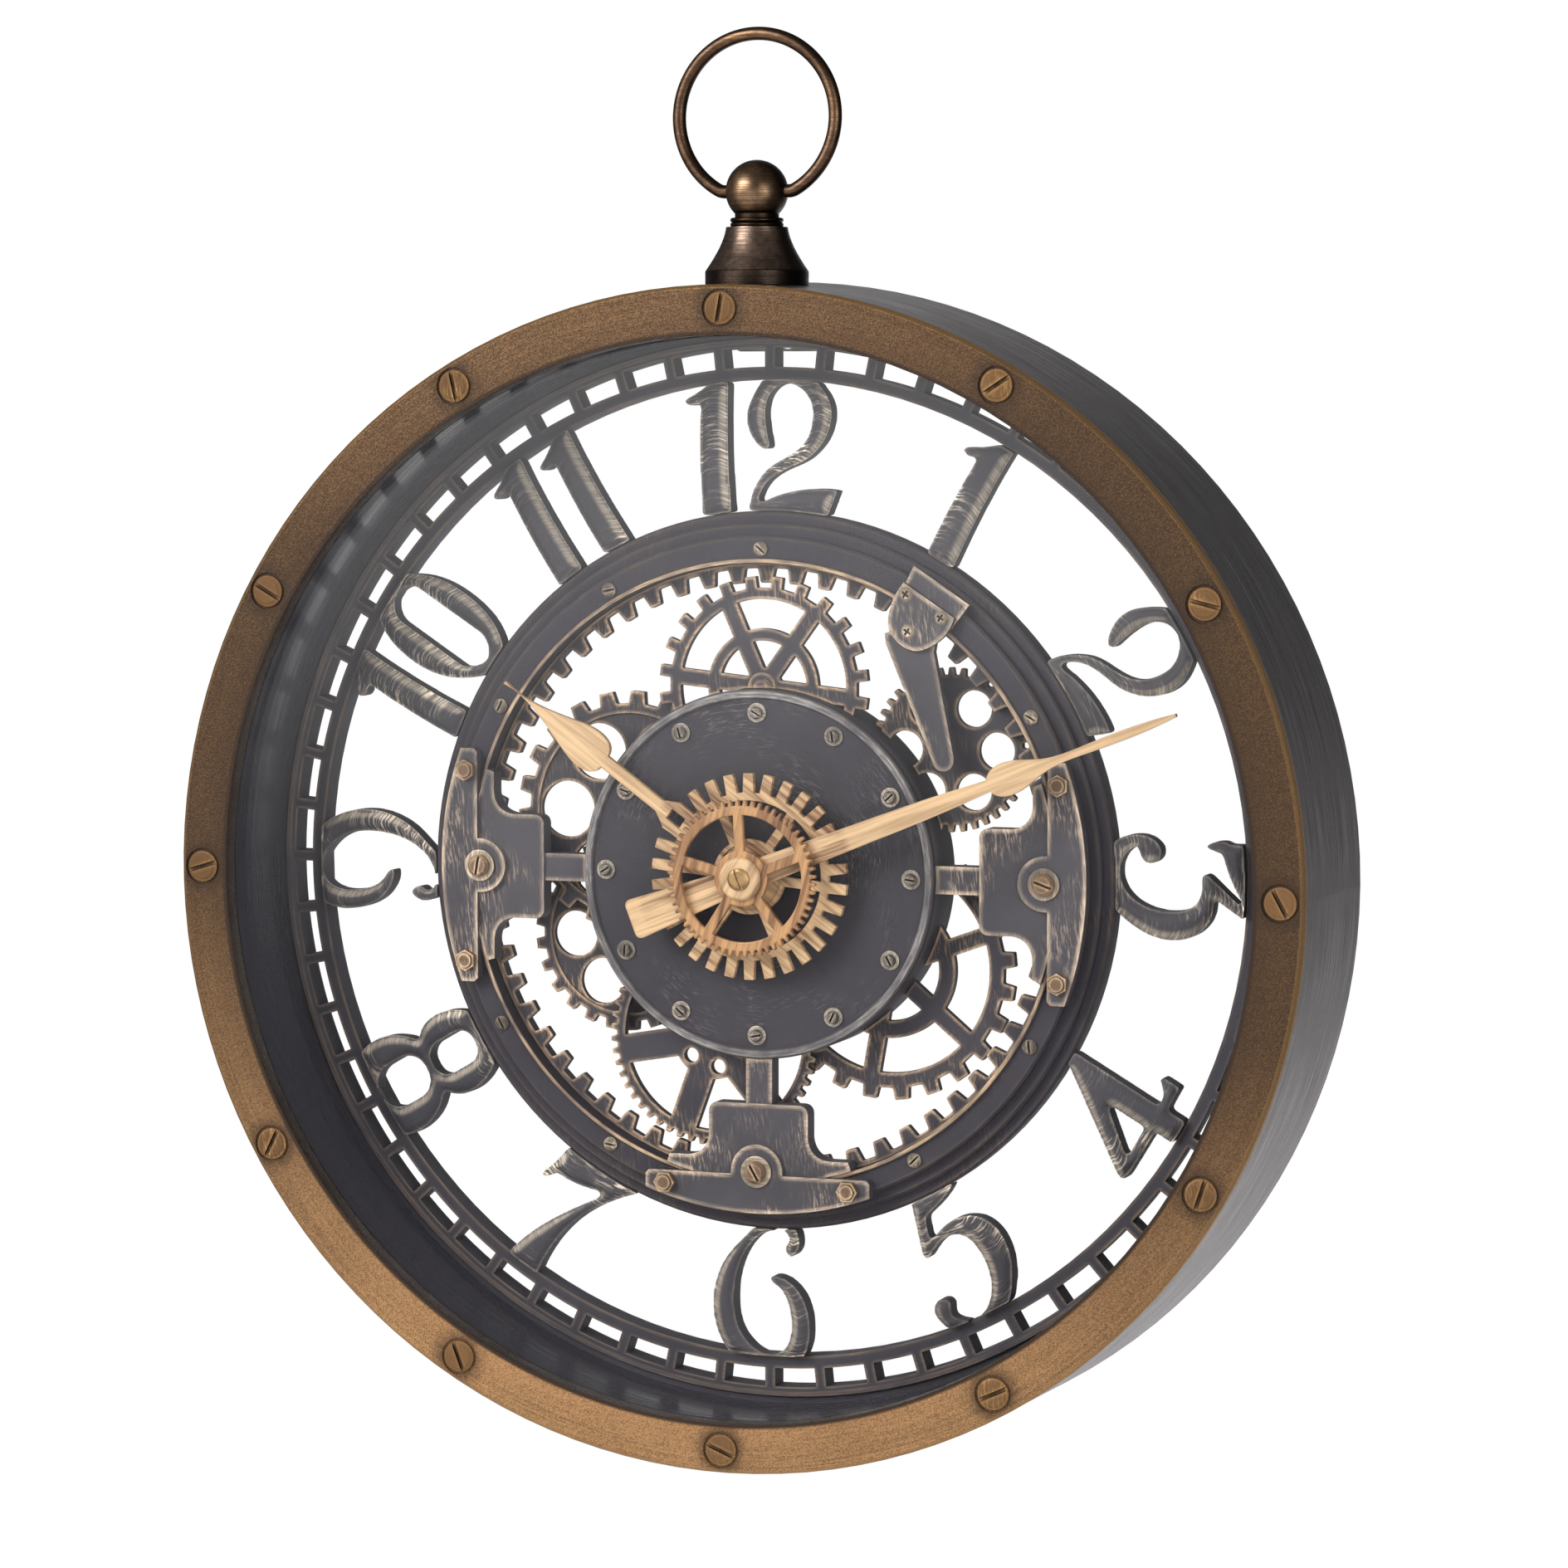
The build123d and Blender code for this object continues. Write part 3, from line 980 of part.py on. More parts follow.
ridge_room = slab(annulus(ridge_out + SEAT_GAP, INNER_RING_BORE_R - SEAT_GAP), RING_FLAT,
                  ridge_top + SEAT_GAP)
bracket = slab(block_face, BRACKET_BLOCK_BACK, BRACKET_BLOCK_FRONT)
bracket += slab(arm_face, BRACKET_ARM_BACK, BRACKET_ARM_FRONT) - disc_room
bracket += slab(bar_face, RING_FLAT, BRACKET_BAR_FRONT) - ridge_room
bracket -= Pos(0, 0, PIVOT_R) * round_hole(PIVOT_SHANK_R + THREAD_GAP, BRACKET_BLOCK_BACK,
                                           BRACKET_BAR_FRONT)
bolt_hole = round_hole(HEX_SHANK_R + SCREW_GAP, RING_FLAT, BRACKET_BAR_FRONT)
bracket -= [Pos(x, 0, z) * bolt_hole for x, z in bolt_spots]
for side, hour in BRACKET_HOURS.items():
    save(f"bracket_{side}", clockwise(30 * hour, bracket))

# Bracket bolts
washer = slab(annulus(PIVOT_WASHER_R, PIVOT_SHANK_R + SCREW_GAP), BRACKET_BAR_FRONT,
              BRACKET_BAR_FRONT + PIVOT_WASHER_T)
save("pivot_washers", Compound(children=[placed(washer, PIVOT_R, a) for a in bracket_angles]))
pivot_shank = BRACKET_BAR_FRONT + PIVOT_WASHER_T - BRACKET_BLOCK_BACK
pivot = slotted_screw(PIVOT_HEAD_R, PIVOT_HEAD, PIVOT_SHANK_R, pivot_shank,
                      BRACKET_BAR_FRONT + PIVOT_WASHER_T, SLOT_W * 0.6, SLOT_DEPTH)
save("pivot_bolts", Compound(children=[
    placed(pivot, PIVOT_R, a, 20 + 40 * i) for i, a in enumerate(bracket_angles)]))
hex_top = BRACKET_BAR_FRONT + HEX_HEAD
hex_bolt = slab(RegularPolygon(HEX_ACROSS / 2, 6, major_radius=False), BRACKET_BAR_FRONT, hex_top)
hex_bolt += slab(Circle(HEX_CAP_R), hex_top, hex_top + HEX_CAP)
hex_bolt += slab(Circle(HEX_SHANK_R), BRACKET_BAR_FRONT - HEX_SHANK, BRACKET_BAR_FRONT)
save("hex_bolts", Compound(children=[
    clockwise(a, Pos(x, 0, z) * hex_bolt) for a in bracket_angles for x, z in bolt_spots]))

# Pawl plate on its tab, with the lever below it
tab_face = polygon((63.8, 122), (86.3, 107), (79.0, 97.4), (58.3, 110.9))
plate_face = outline(
    ((60.4, 115.5), (80.9, 102)),
    ((80.9, 102), (77.9, 96), (71.9, 91), (64.9, 89), (58.9, 91.5), (54.4, 97.5), (54.4, 103.5),
     (56.9, 110.5), (60.4, 115.5)))
lever_face = outline(
    ((51.9, 95.5), (52.4, 91.5)),
    ((52.4, 91.5), (71.4, 46)),
    ((71.4, 46), (73.4, 43), (76.9, 42.5), (79.9, 45.5)),
    ((79.9, 45.5), (80.2, 47.5)),
    ((80.2, 47.5), (71.9, 88.5)),
    ((71.9, 88.5), (73, 95)),
    ((73, 95), (64, 101)),
    ((64, 101), (51.9, 95.5)))
plate_back = RING_FLAT + PAWL_TAB_T
screw_holes = [Pos(x, 0, z) * pawl_hole for x, z in PAWL_SCREWS]
save("pawl_tab", slab(scale(tab_face, by=DIAL), RING_FLAT, plate_back) - screw_holes)
save("pawl_plate", slab(scale(plate_face, by=DIAL), plate_back, pawl_front) - screw_holes)
save("pawl_lever", slab(scale(lever_face, by=DIAL), PAWL_LEVER_BACK, plate_back) - screw_holes)
pawl_body = turned((0, pawl_front - pawl_shank), (PAWL_SCREW_SHANK_R, pawl_front - pawl_shank),
                   (PAWL_SCREW_SHANK_R, pawl_front), (PAWL_SCREW_HEAD_R, pawl_front),
                   (PAWL_SCREW_HEAD_R * 0.7, pawl_front + PAWL_SCREW_HEAD), (0,
                                                                             pawl_front + PAWL_SCREW_HEAD))
for turn in (35, 125):
    pawl_body -= clockwise(turn, slot_cut(CROSS_W, PAWL_SCREW_HEAD_R * 1.2, pawl_front + PAWL_SCREW_HEAD,
                                          PAWL_SCREW_HEAD * 0.6))
save("pawl_screws", Compound(children=[Pos(x, 0, z) * pawl_body for x, z in PAWL_SCREWS]))

# Centre disc, a shallow cup with a beaded rim, and its ring of screws
bead_top = DISC_FRONT + DISC_BEAD_H
bush_hole = BUSH_R + SCREW_GAP
centre = turned((bush_hole, PLATE_BACK), (DISC_R - DISC_WALL, PLATE_BACK), (DISC_R - DISC_WALL, DISC_BACK),
                (DISC_R, DISC_BACK), (DISC_R, DISC_FRONT), (DISC_R - DISC_BEAD_SLOPE, bead_top),
                (DISC_R - DISC_BEAD_W + DISC_BEAD_SLOPE, bead_top), (DISC_R - DISC_BEAD_W, DISC_FRONT),
                (bush_hole, DISC_FRONT))
disc_screw_angles = even(DISC_SCREWS)
disc_hole = round_hole(DISC_SCREW_SHANK_R + THREAD_GAP, PLATE_BACK, DISC_FRONT)
save("centre_disc", centre - [placed(disc_hole, DISC_SCREW_CIRCLE_R, a) for a in disc_screw_angles])
small_washer = slab(annulus(DISC_WASHER_R, DISC_SCREW_SHANK_R + SCREW_GAP), DISC_FRONT,
                    DISC_FRONT + DISC_WASHER_T)
save("disc_washers", Compound(children=[placed(small_washer, DISC_SCREW_CIRCLE_R, a)
     for a in disc_screw_angles]))
disc_screw = slotted_screw(DISC_SCREW_HEAD_R, DISC_SCREW_HEAD, DISC_SCREW_SHANK_R, DISC_WASHER_T + DISC_T,
                           DISC_FRONT + DISC_WASHER_T, SLOT_W / 2, SLOT_DEPTH * 0.8)
save("disc_screws", Compound(children=[
    placed(disc_screw, DISC_SCREW_CIRCLE_R, a, 30 + 53 * i) for i, a in enumerate(disc_screw_angles)]))

# Movement housing, open at the back, with posts for the cover screws
inside = MOVEMENT - 2 * MOVEMENT_WALL
floor_h = HOUSING_FRONT - MOVEMENT_WALL
cover_back = HOUSING_BACK - COVER_T
work_z = WORK_CENTRES
post_spots = [(x, z) for x in (-POST_X, POST_X) for z in (POST_HIGH_Z, POST_LOW_Z)]
housing = slab(RectangleRounded(MOVEMENT, MOVEMENT, MOVEMENT_CORNER), HOUSING_BACK, HOUSING_FRONT)
housing -= slab(RectangleRounded(inside, inside, MOVEMENT_CORNER - MOVEMENT_WALL), HOUSING_BACK, floor_h)
housing += [Pos(x, 0, z) * round_hole(POST_R, HOUSING_BACK, floor_h) for x, z in post_spots]
post_hole = round_hole(COVER_SCREW_R + THREAD_GAP, HOUSING_BACK, HOUSING_BACK + COVER_SCREW)
housing -= [Pos(x, 0, z) * post_hole for x, z in post_spots]
housing -= round_hole(BUSH_R + SEAT_GAP, floor_h, HOUSING_FRONT)
housing -= Pos(0, 0, work_z) * round_hole(WORK_ARBOR_R + RUNNING_GAP, floor_h, HOUSING_FRONT)
save("movement_housing", housing)
mount_washer = slab(annulus(MOUNT_WASHER_R, bush_hole), HOUSING_FRONT, PLATE_BACK)
save("mount_washer", mount_washer)

# Rear cover with the battery opening, and its screws
cover = slab(RectangleRounded(MOVEMENT, MOVEMENT, MOVEMENT_CORNER), cover_back, HOUSING_BACK)
cover -= slab(Pos(0, CELL_Z) * Rectangle(CELL_LENGTH + 4 * CELL_GAP, 2 * (CELL_R + CELL_GAP)), cover_back,
              HOUSING_BACK)
cover -= round_hole(ARBOR_R + RUNNING_GAP, cover_back, HOUSING_BACK)
cover -= Pos(0, 0, work_z) * round_hole(WORK_ARBOR_R + RUNNING_GAP, cover_back, HOUSING_BACK)
cover_hole = round_hole(COVER_SCREW_R + SCREW_GAP, cover_back, HOUSING_BACK)
save("rear_cover", cover - [Pos(x, 0, z) * cover_hole for x, z in post_spots])
cover_screw = rear_screw(COVER_SCREW_HEAD_R, COVER_SCREW_HEAD, COVER_SCREW_R,
                         COVER_T + COVER_SCREW - SCREW_GAP,
                         cover_back)
save("cover_screws", Compound(children=[Pos(x, 0, z) * cover_screw for x, z in post_spots]))

# Threaded bush through the disc, with its nut
bush_bore = HOUR_PIPE_R + RUNNING_GAP
bush_top = HOUSING_FRONT + BUSH_LENGTH
flange_back = floor_h - BUSH_FLANGE_T
save("hand_bush", turned((bush_bore, flange_back), (BUSH_FLANGE_R, flange_back), (BUSH_FLANGE_R, floor_h),
                         (BUSH_R, floor_h), (BUSH_R, bush_top), (bush_bore, bush_top)))
nut_face = RegularPolygon(BUSH_NUT_ACROSS / 2, 6, major_radius=False) - Circle(BUSH_R + THREAD_GAP)
save("bush_nut", slab(nut_face, DISC_FRONT, DISC_FRONT + BUSH_NUT_T))

# Battery, its contacts, the circuit board and the motor coil
cell_h = (HOUSING_BACK + floor_h) / 2
cell_axis = Plane((-CELL_LENGTH / 2, -cell_h, CELL_Z), x_dir=(0, 1, 0), z_dir=(1, 0, 0))
cell_body = CELL_LENGTH - CELL_NUB
battery = extrude(cell_axis * Circle(CELL_R), amount=cell_body)
battery += extrude(cell_axis.offset(cell_body) * Circle(CELL_NUB_R), amount=CELL_NUB)
save("battery", battery)
contact_room = (inside - CELL_LENGTH) / 2
contacts = []
for side in (-1, 1):
    sheet_x = side * (inside / 2 - CONTACT_T / 2)
    tab = Pos(sheet_x, -cell_h, CELL_Z) * Box(CONTACT_T, CONTACT_SIDE, CONTACT_SIDE)
    spring_x = side * (CELL_LENGTH / 2 + (contact_room - CONTACT_T) / 2)
    dome = Pos(spring_x, -cell_h, CELL_Z) * Rot(0, 90, 0) * Cylinder(CELL_NUB_R, contact_room - CONTACT_T)
    contacts.append(tab + dome)
save("battery_contacts", Compound(children=contacts))
board_z = work_z + WORK_ARBOR_R + BOARD_GAP + BOARD_W / 2
board_top = HOUSING_BACK + BOARD_T
save("circuit_board", Pos(0, -(HOUSING_BACK + board_top) / 2, board_z) * Box(BOARD_LENGTH, BOARD_T,
     BOARD_W))
coil_h = board_top + COIL_FLANGE / 2
coil = Pos(0, -coil_h, board_z) * Rot(0, 90, 0) * Cylinder(COIL_R, COIL_LENGTH)
for side in (-1, 1):
    coil += Pos(side * COIL_LENGTH / 2, -coil_h, board_z) * Box(BOARD_T, COIL_FLANGE, COIL_FLANGE)
save("motor_coil", coil)

# Motion work: cannon pinion to minute wheel, and its pinion to the hour wheel
first_module = 2 * WORK_CENTRES / (CANNON_TEETH + MINUTE_WHEEL_TEETH)
second_module = 2 * WORK_CENTRES / (HOUR_PINION_TEETH + HOUR_WHEEL_TEETH)
hour_wheel_front = flange_back - WHEEL_GAP
hour_wheel_back = hour_wheel_front - WHEEL_T
minute_wheel_front = hour_wheel_back - WHEEL_GAP
minute_wheel_back = minute_wheel_front - WHEEL_T


def small_gear(teeth, module, first):
    """The outline of a gear of the motion work, with room to turn in its mate."""
    pitch_r = teeth * module / 2
    return toothed(pitch_r - TOOTH_BELOW * module, pitch_r + TOOTH_ABOVE * module, teeth, 0.22, 0.52, first)


arbor_top = CAP_BACK - SEAT_GAP
arbor = slab(Circle(ARBOR_R), cover_back + SEAT_GAP, arbor_top)
arbor += slab(small_gear(CANNON_TEETH, first_module, 0), minute_wheel_back, minute_wheel_front)
arbor -= round_hole(HUB_SCREW_SHANK_R + THREAD_GAP, arbor_top - HUB_SCREW_SHANK, arbor_top)
save("minute_arbor", arbor)

pipe_top = HOUR_HAND_BACK + HAND_T
hour_wheel = slab(small_gear(HOUR_WHEEL_TEETH, second_module, 180 / HOUR_WHEEL_TEETH), hour_wheel_back,
                  hour_wheel_front)
hour_wheel += slab(Circle(HOUR_PIPE_R), hour_wheel_back, pipe_top)
save("hour_wheel", hour_wheel - round_hole(ARBOR_R + RUNNING_GAP, hour_wheel_back, pipe_top))

knob_front = cover_back - WHEEL_GAP
setting = slab(small_gear(MINUTE_WHEEL_TEETH, first_module, 180 / MINUTE_WHEEL_TEETH), minute_wheel_back,
               minute_wheel_front)
setting += slab(small_gear(HOUR_PINION_TEETH, second_module, 0), minute_wheel_front, hour_wheel_front)
setting += slab(Circle(WORK_ARBOR_R), knob_front - KNOB_HOLD, HOUSING_FRONT - SEAT_GAP)
save("minute_wheel", Pos(0, 0, work_z) * setting)
knob = slab(toothed(KNOB_R - KNURL, KNOB_R, KNOB_RIBS), knob_front - KNOB_T, knob_front)
knob -= round_hole(WORK_ARBOR_R + THREAD_GAP, knob_front - KNOB_HOLD, knob_front)
save("setting_knob", Pos(0, 0, work_z) * knob)


def mirrored(*runs):
    """A face given by the right half of its outline, closed along the middle line."""
    half = outline(*runs, (runs[-1][-1], runs[0][0]))
    return half + mirror(half, Plane.YZ)


# Hour hand: gear, fork, bar and leaf, drawn at twelve and turned to its hour
leaf = HOUR_LEAF_HALF
leaf_at = HOUR_LEAF_AT
leaf_long = HOUR_REACH - leaf_at
hour_bar = HOUR_BAR_W / 2
hour_leaf = mirrored(
    ((0, FORK_OUT_R), (hour_bar, FORK_OUT_R)),
    ((hour_bar, FORK_OUT_R), (hour_bar, leaf_at - leaf)),
    ((hour_bar, leaf_at - leaf), (leaf * 0.76, leaf_at - leaf * 0.8), (leaf, leaf_at),
     (leaf * 0.72, leaf_at + leaf_long * 0.25), (leaf * 0.2, leaf_at + leaf_long * 0.58),
     (TIP_HALF, HOUR_REACH)),
    ((TIP_HALF, HOUR_REACH), (0, HOUR_REACH)))
fork_half = FORK_W / 2
fork = mirrored(
    ((0, HOUR_GEAR_RIM_R + FORK_LAP), (fork_half, HOUR_GEAR_RIM_R + FORK_LAP)),
    ((fork_half, HOUR_GEAR_RIM_R + FORK_LAP), (fork_half, FORK_SLOT_OUT_R - FORK_LAP)),
    ((fork_half, FORK_SLOT_OUT_R - FORK_LAP), (hour_bar, FORK_OUT_R + FORK_LAP)),
    ((hour_bar, FORK_OUT_R + FORK_LAP), (0, FORK_OUT_R + FORK_LAP)))
slot_long = FORK_SLOT_OUT_R - FORK_SLOT_IN_R
fork -= Pos(0, (FORK_SLOT_OUT_R + FORK_SLOT_IN_R) / 2) * Rectangle(FORK_SLOT_W, slot_long)
gear_step = 360.0 / HOUR_GEAR_TEETH
hour_face = spoked(toothed(HOUR_GEAR_ROOT_R, HOUR_GEAR_TIP_R, HOUR_GEAR_TEETH, 0.46, 0.64, gear_step / 2),
                   HOUR_GEAR_RIM_R, HOUR_GEAR_HUB_R, 6, HOUR_GEAR_SPOKE_W, 30)
hour_face -= Pos(0, (FORK_SLOT_OUT_R + FORK_SLOT_IN_R) / 2) * Rectangle(FORK_SLOT_W, slot_long)
hour_face += [fork, hour_leaf]
hour_hand = slab(hour_face, HOUR_HAND_BACK, pipe_top)
hour_hand -= round_hole(HOUR_PIPE_R + THREAD_GAP, HOUR_HAND_BACK, pipe_top)
hour_hand -= slab(annulus(HOUR_GEAR_HUB_R - HUB_RIM, HOUR_PIPE_R + HUB_RIM), pipe_top - HUB_DISH, pipe_top)
save("hour_hand", clockwise(HOUR_ANGLE, hour_hand))

# Minute hand with its tail and the collet behind it
hand = MINUTE_LEAF_HALF
hand_at = MINUTE_LEAF_AT
hand_long = MINUTE_REACH - hand_at
tail_half = MINUTE_TAIL_W / 2
tail_corner = MINUTE_TAIL_CORNER
minute_bar = MINUTE_BAR_W / 2
neck = MINUTE_NECK_W / 2
minute_face = mirrored(
    ((0, -MINUTE_TAIL), (tail_half - tail_corner, -MINUTE_TAIL)),
    ((tail_half - tail_corner, -MINUTE_TAIL),
     (tail_half - tail_corner * CORNER_SHARE, tail_corner * CORNER_SHARE - MINUTE_TAIL),
     (tail_half, tail_corner - MINUTE_TAIL)),
    ((tail_half, tail_corner - MINUTE_TAIL), (MINUTE_HUB_W / 2, -MINUTE_HUB_W)),
    ((MINUTE_HUB_W / 2, -MINUTE_HUB_W), (MINUTE_HUB_W / 2, 0)),
    ((MINUTE_HUB_W / 2, 0), (minute_bar, hand_at * 0.5)),
    ((minute_bar, hand_at * 0.5), (minute_bar * 0.86, hand_at * 0.72), (neck, hand_at - hand)),
    ((neck, hand_at - hand), (hand * 0.8, hand_at - hand * 0.6), (hand, hand_at),
     (hand * 0.45, hand_at + hand_long * 0.22), (hand * 0.27, hand_at + hand_long * 0.5), (TIP_HALF,
                                                                                           MINUTE_REACH)),
    ((TIP_HALF, MINUTE_REACH), (0, MINUTE_REACH)))
collet_back = pipe_top + COLLET_GAP
minute_hand = slab(minute_face, MINUTE_HAND_BACK, MINUTE_HAND_BACK + HAND_T)
minute_hand += slab(Circle(COLLET_R), collet_back, MINUTE_HAND_BACK)
minute_hand -= round_hole(ARBOR_R + THREAD_GAP, collet_back, MINUTE_HAND_BACK + HAND_T)
save("minute_hand", clockwise(MINUTE_ANGLE, minute_hand))

# Fine-toothed front gear on the minute hand, its cap and the cap's screw
front_face = spoked(toothed(FRONT_GEAR_ROOT_R, FRONT_GEAR_TIP_R, FRONT_GEAR_TEETH, 0.36, 0.6),
                    FRONT_GEAR_RIM_R,
                    FRONT_GEAR_HUB_R, 5, FRONT_GEAR_SPOKE_W, 0)
front_gear = slab(front_face, FRONT_GEAR_BACK, CAP_BACK)
front_gear += slab(Circle(COLLET_R), MINUTE_HAND_BACK + HAND_T, FRONT_GEAR_BACK)
front_gear -= round_hole(ARBOR_R + THREAD_GAP, MINUTE_HAND_BACK + HAND_T, CAP_BACK)
save("front_gear", clockwise(MINUTE_ANGLE, front_gear))
cap_front = CAP_BACK + HUB_CAP_T
hub_cap = turned((HUB_SCREW_SHANK_R + SCREW_GAP, CAP_BACK), (HUB_CAP_R, CAP_BACK), (HUB_CAP_R,
                 cap_front - STEP_EDGE),
                 (HUB_CAP_R - STEP_EDGE, cap_front), (HUB_SCREW_SHANK_R + SCREW_GAP, cap_front))
save("hub_cap", hub_cap)
save("hub_screw", slotted_screw(HUB_SCREW_R, HUB_SCREW_T, HUB_SCREW_SHANK_R,
     HUB_CAP_T + HUB_SCREW_SHANK - STEP_EDGE,
                                cap_front, SLOT_W * 0.6, SLOT_DEPTH * 0.7, MINUTE_ANGLE))
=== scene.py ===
"""Looks of an open-work wall clock in the form of a large pocket watch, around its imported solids."""
import logging
from dataclasses import dataclass
from enum import Enum
from math import cos, radians, sin, tau
from typing import Callable, Union

import bmesh
import bpy
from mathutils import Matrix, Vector
from mathutils.kdtree import KDTree


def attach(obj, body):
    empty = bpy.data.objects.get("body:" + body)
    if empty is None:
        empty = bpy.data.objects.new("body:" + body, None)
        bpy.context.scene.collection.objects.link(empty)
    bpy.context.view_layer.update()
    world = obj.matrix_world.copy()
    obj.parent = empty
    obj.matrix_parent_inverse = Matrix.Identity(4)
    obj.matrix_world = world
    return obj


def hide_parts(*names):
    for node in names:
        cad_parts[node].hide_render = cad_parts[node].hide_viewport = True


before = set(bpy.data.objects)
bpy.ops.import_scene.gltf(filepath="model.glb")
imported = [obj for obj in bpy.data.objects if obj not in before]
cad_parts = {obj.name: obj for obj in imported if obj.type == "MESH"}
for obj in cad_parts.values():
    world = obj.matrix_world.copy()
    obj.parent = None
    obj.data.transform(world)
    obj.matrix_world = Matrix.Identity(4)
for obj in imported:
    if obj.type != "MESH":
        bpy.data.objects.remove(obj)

log = logging.getLogger("wall_clock")
Socket = bpy.types.NodeSocket
Value = Union[float, tuple, Socket]
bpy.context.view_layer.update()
SHELTER_SAMPLES = 6
WELD_GAP = 0.00001
AXIS_GUARD = 1e-4
# Near-black colour of the painted shade in hollows.
RECESS_SHADE_COLOUR = (0.006, 0.005, 0.004, 1.0)
WHITE = (1.0, 1.0, 1.0, 1.0)


def srgb(red: int, green: int, blue: int) -> tuple[float, float, float, float]:
    """A colour read on a screen, as the linear colour a shader takes.

    Args:
        red: Red, 0 to 255.
        green: Green, 0 to 255.
        blue: Blue, 0 to 255.

    Returns:
        Linear red, green, blue and an alpha of 1.
    """
    def linear(level: int) -> float:
        """One channel made linear."""
        share = level / 255.0
        return share / 12.92 if share <= 0.04045 else ((share + 0.055) / 1.055) ** 2.4
    return (linear(red), linear(green), linear(blue), 1.0)


class Graph:
    """A node tree being filled, with short ways to add nodes and join them."""

    def __init__(self, tree: bpy.types.NodeTree) -> None:
        """Take over a tree and empty it."""
        self.tree = tree
        tree.nodes.clear()

    def feed(self, socket: Socket, value: Value) -> None:
        """Link a socket, or set its plain value.

        Args:
            socket: The input to fill.
            value: Another node's output, or a number, colour or vector.
        """
        if isinstance(value, bpy.types.NodeSocket):
            self.tree.links.new(value, socket)
        else:
            socket.default_value = value

    def add(self, kind: str, inputs: dict | None = None, **settings: object) -> bpy.types.Node:
        """Add a node.

        Args:
            kind: The node's type without the ShaderNode prefix.
            inputs: Values or links by socket name or index.
            **settings: Properties of the node.

        Returns:
            The new node.
        """
        node = self.tree.nodes.new(f"ShaderNode{kind}")
        for name, value in settings.items():
            setattr(node, name, value)
        for name, value in (inputs or {}).items():
            self.feed(node.inputs[name], value)
        return node

    def math(self, operation: str, first: Value, second: Value = 0.0, clamp: bool = False) -> Socket:
        """A number worked out from one or two others."""
        return self.add("Math", {0: first, 1: second}, operation=operation, use_clamp=clamp).outputs[0]

    def step(self, value: Value, low: float, high: float, to_low: float = 0.0,
             to_high: float = 1.0) -> Socket:
        """A smooth step of a value from one level to another."""
        node = self.add("MapRange", {0: value, 1: low, 2: high, 3: to_low, 4: to_high},
                        interpolation_type="SMOOTHSTEP")
        return node.outputs[0]

    def mix(self, share: Value, first: Value, second: Value) -> Socket:
        """Two colours mixed by a share."""
        node = self.add("Mix", data_type="RGBA")
        self.feed(node.inputs["Factor"], share)
        self.feed(node.inputs[6], first)
        self.feed(node.inputs[7], second)
        return node.outputs[2]

    def noise(self, vector: Socket, scale: float, detail: float = 4.0, rough: float = 0.6) -> Socket:
        """Cloudy noise over a vector."""
        node = self.add("TexNoise", {"Vector": vector, "Scale": scale, "Detail": detail, "Roughness": rough})
        return node.outputs["Fac"]

    def length(self, first: Socket, second: Socket) -> Socket:
        """The length of the long side over two short ones."""
        squares = [self.math("MULTIPLY", side, side) for side in (first, second)]
        return self.math("SQRT", self.math("ADD", *squares))

    def product(self, *values: Value) -> Socket:
        """Several numbers multiplied, from the left."""
        total = values[0]
        for value in values[1:]:
            total = self.math("MULTIPLY", total, value)
        return total

    def shelter(self, distance: float, inside: bool) -> Socket:
        """How open a surface is within a distance, looking into the piece or out of it.

        Args:
            distance: How far it looks, in metres.
            inside: True to look into the piece, where an edge counts as sheltered.

        Returns:
            1 on an open flat face, falling to 0.
        """
        node = self.add("AmbientOcclusion", {"Distance": distance}, samples=SHELTER_SAMPLES, inside=inside,
                        only_local=True)
        return node.outputs["AO"]

    def place(self) -> Socket:
        """The point on the piece, in metres from the dial's middle on the wall."""
        return self.add("TexCoord").outputs["Object"]

    def facing(self) -> Socket:
        """The direction that the surface faces, in the piece's own frame."""
        return self.add("TexCoord").outputs["Normal"]

    def group(self, name: str, inputs: dict) -> bpy.types.Node:
        """A shared effect placed in this tree with its own values."""
        node = self.tree.nodes.new("ShaderNodeGroup")
        node.node_tree = bpy.data.node_groups[name]
        for socket, value in inputs.items():
            self.feed(node.inputs[socket], value)
        return node


class Effect(Enum):
    """The shared effects, by the names of their node groups."""

    STREAKS = "Streaks round the dial"
    RUB = "Dry-brushed rub"
    SPECKLE = "Fine speckle"


def shared_effect(effect: Effect, inputs: dict[str, float], outputs: list[str],
                  fill: Callable[[Graph, dict[str, Socket]], dict[str, Socket]]) -> None:
    """Build one shader node group.

    Args:
        effect: Which effect it is.
        inputs: Names and starting values of its number inputs.
        outputs: Names of its number outputs.
        fill: Builds the nodes from the inputs and gives the outputs by name.
    """
    tree = bpy.data.node_groups.new(effect.value, "ShaderNodeTree")
    for name, value in inputs.items():
        tree.interface.new_socket(name, in_out="INPUT", socket_type="NodeSocketFloat").default_value = value
    for name in outputs:
        tree.interface.new_socket(name, in_out="OUTPUT", socket_type="NodeSocketFloat")
    graph = Graph(tree)
    ends = tree.nodes.new("NodeGroupInput")
    results = fill(graph, {name: ends.outputs[name] for name in inputs})
    out = tree.nodes.new("NodeGroupOutput")
    for name in outputs:
        graph.feed(out.inputs[name], results[name])


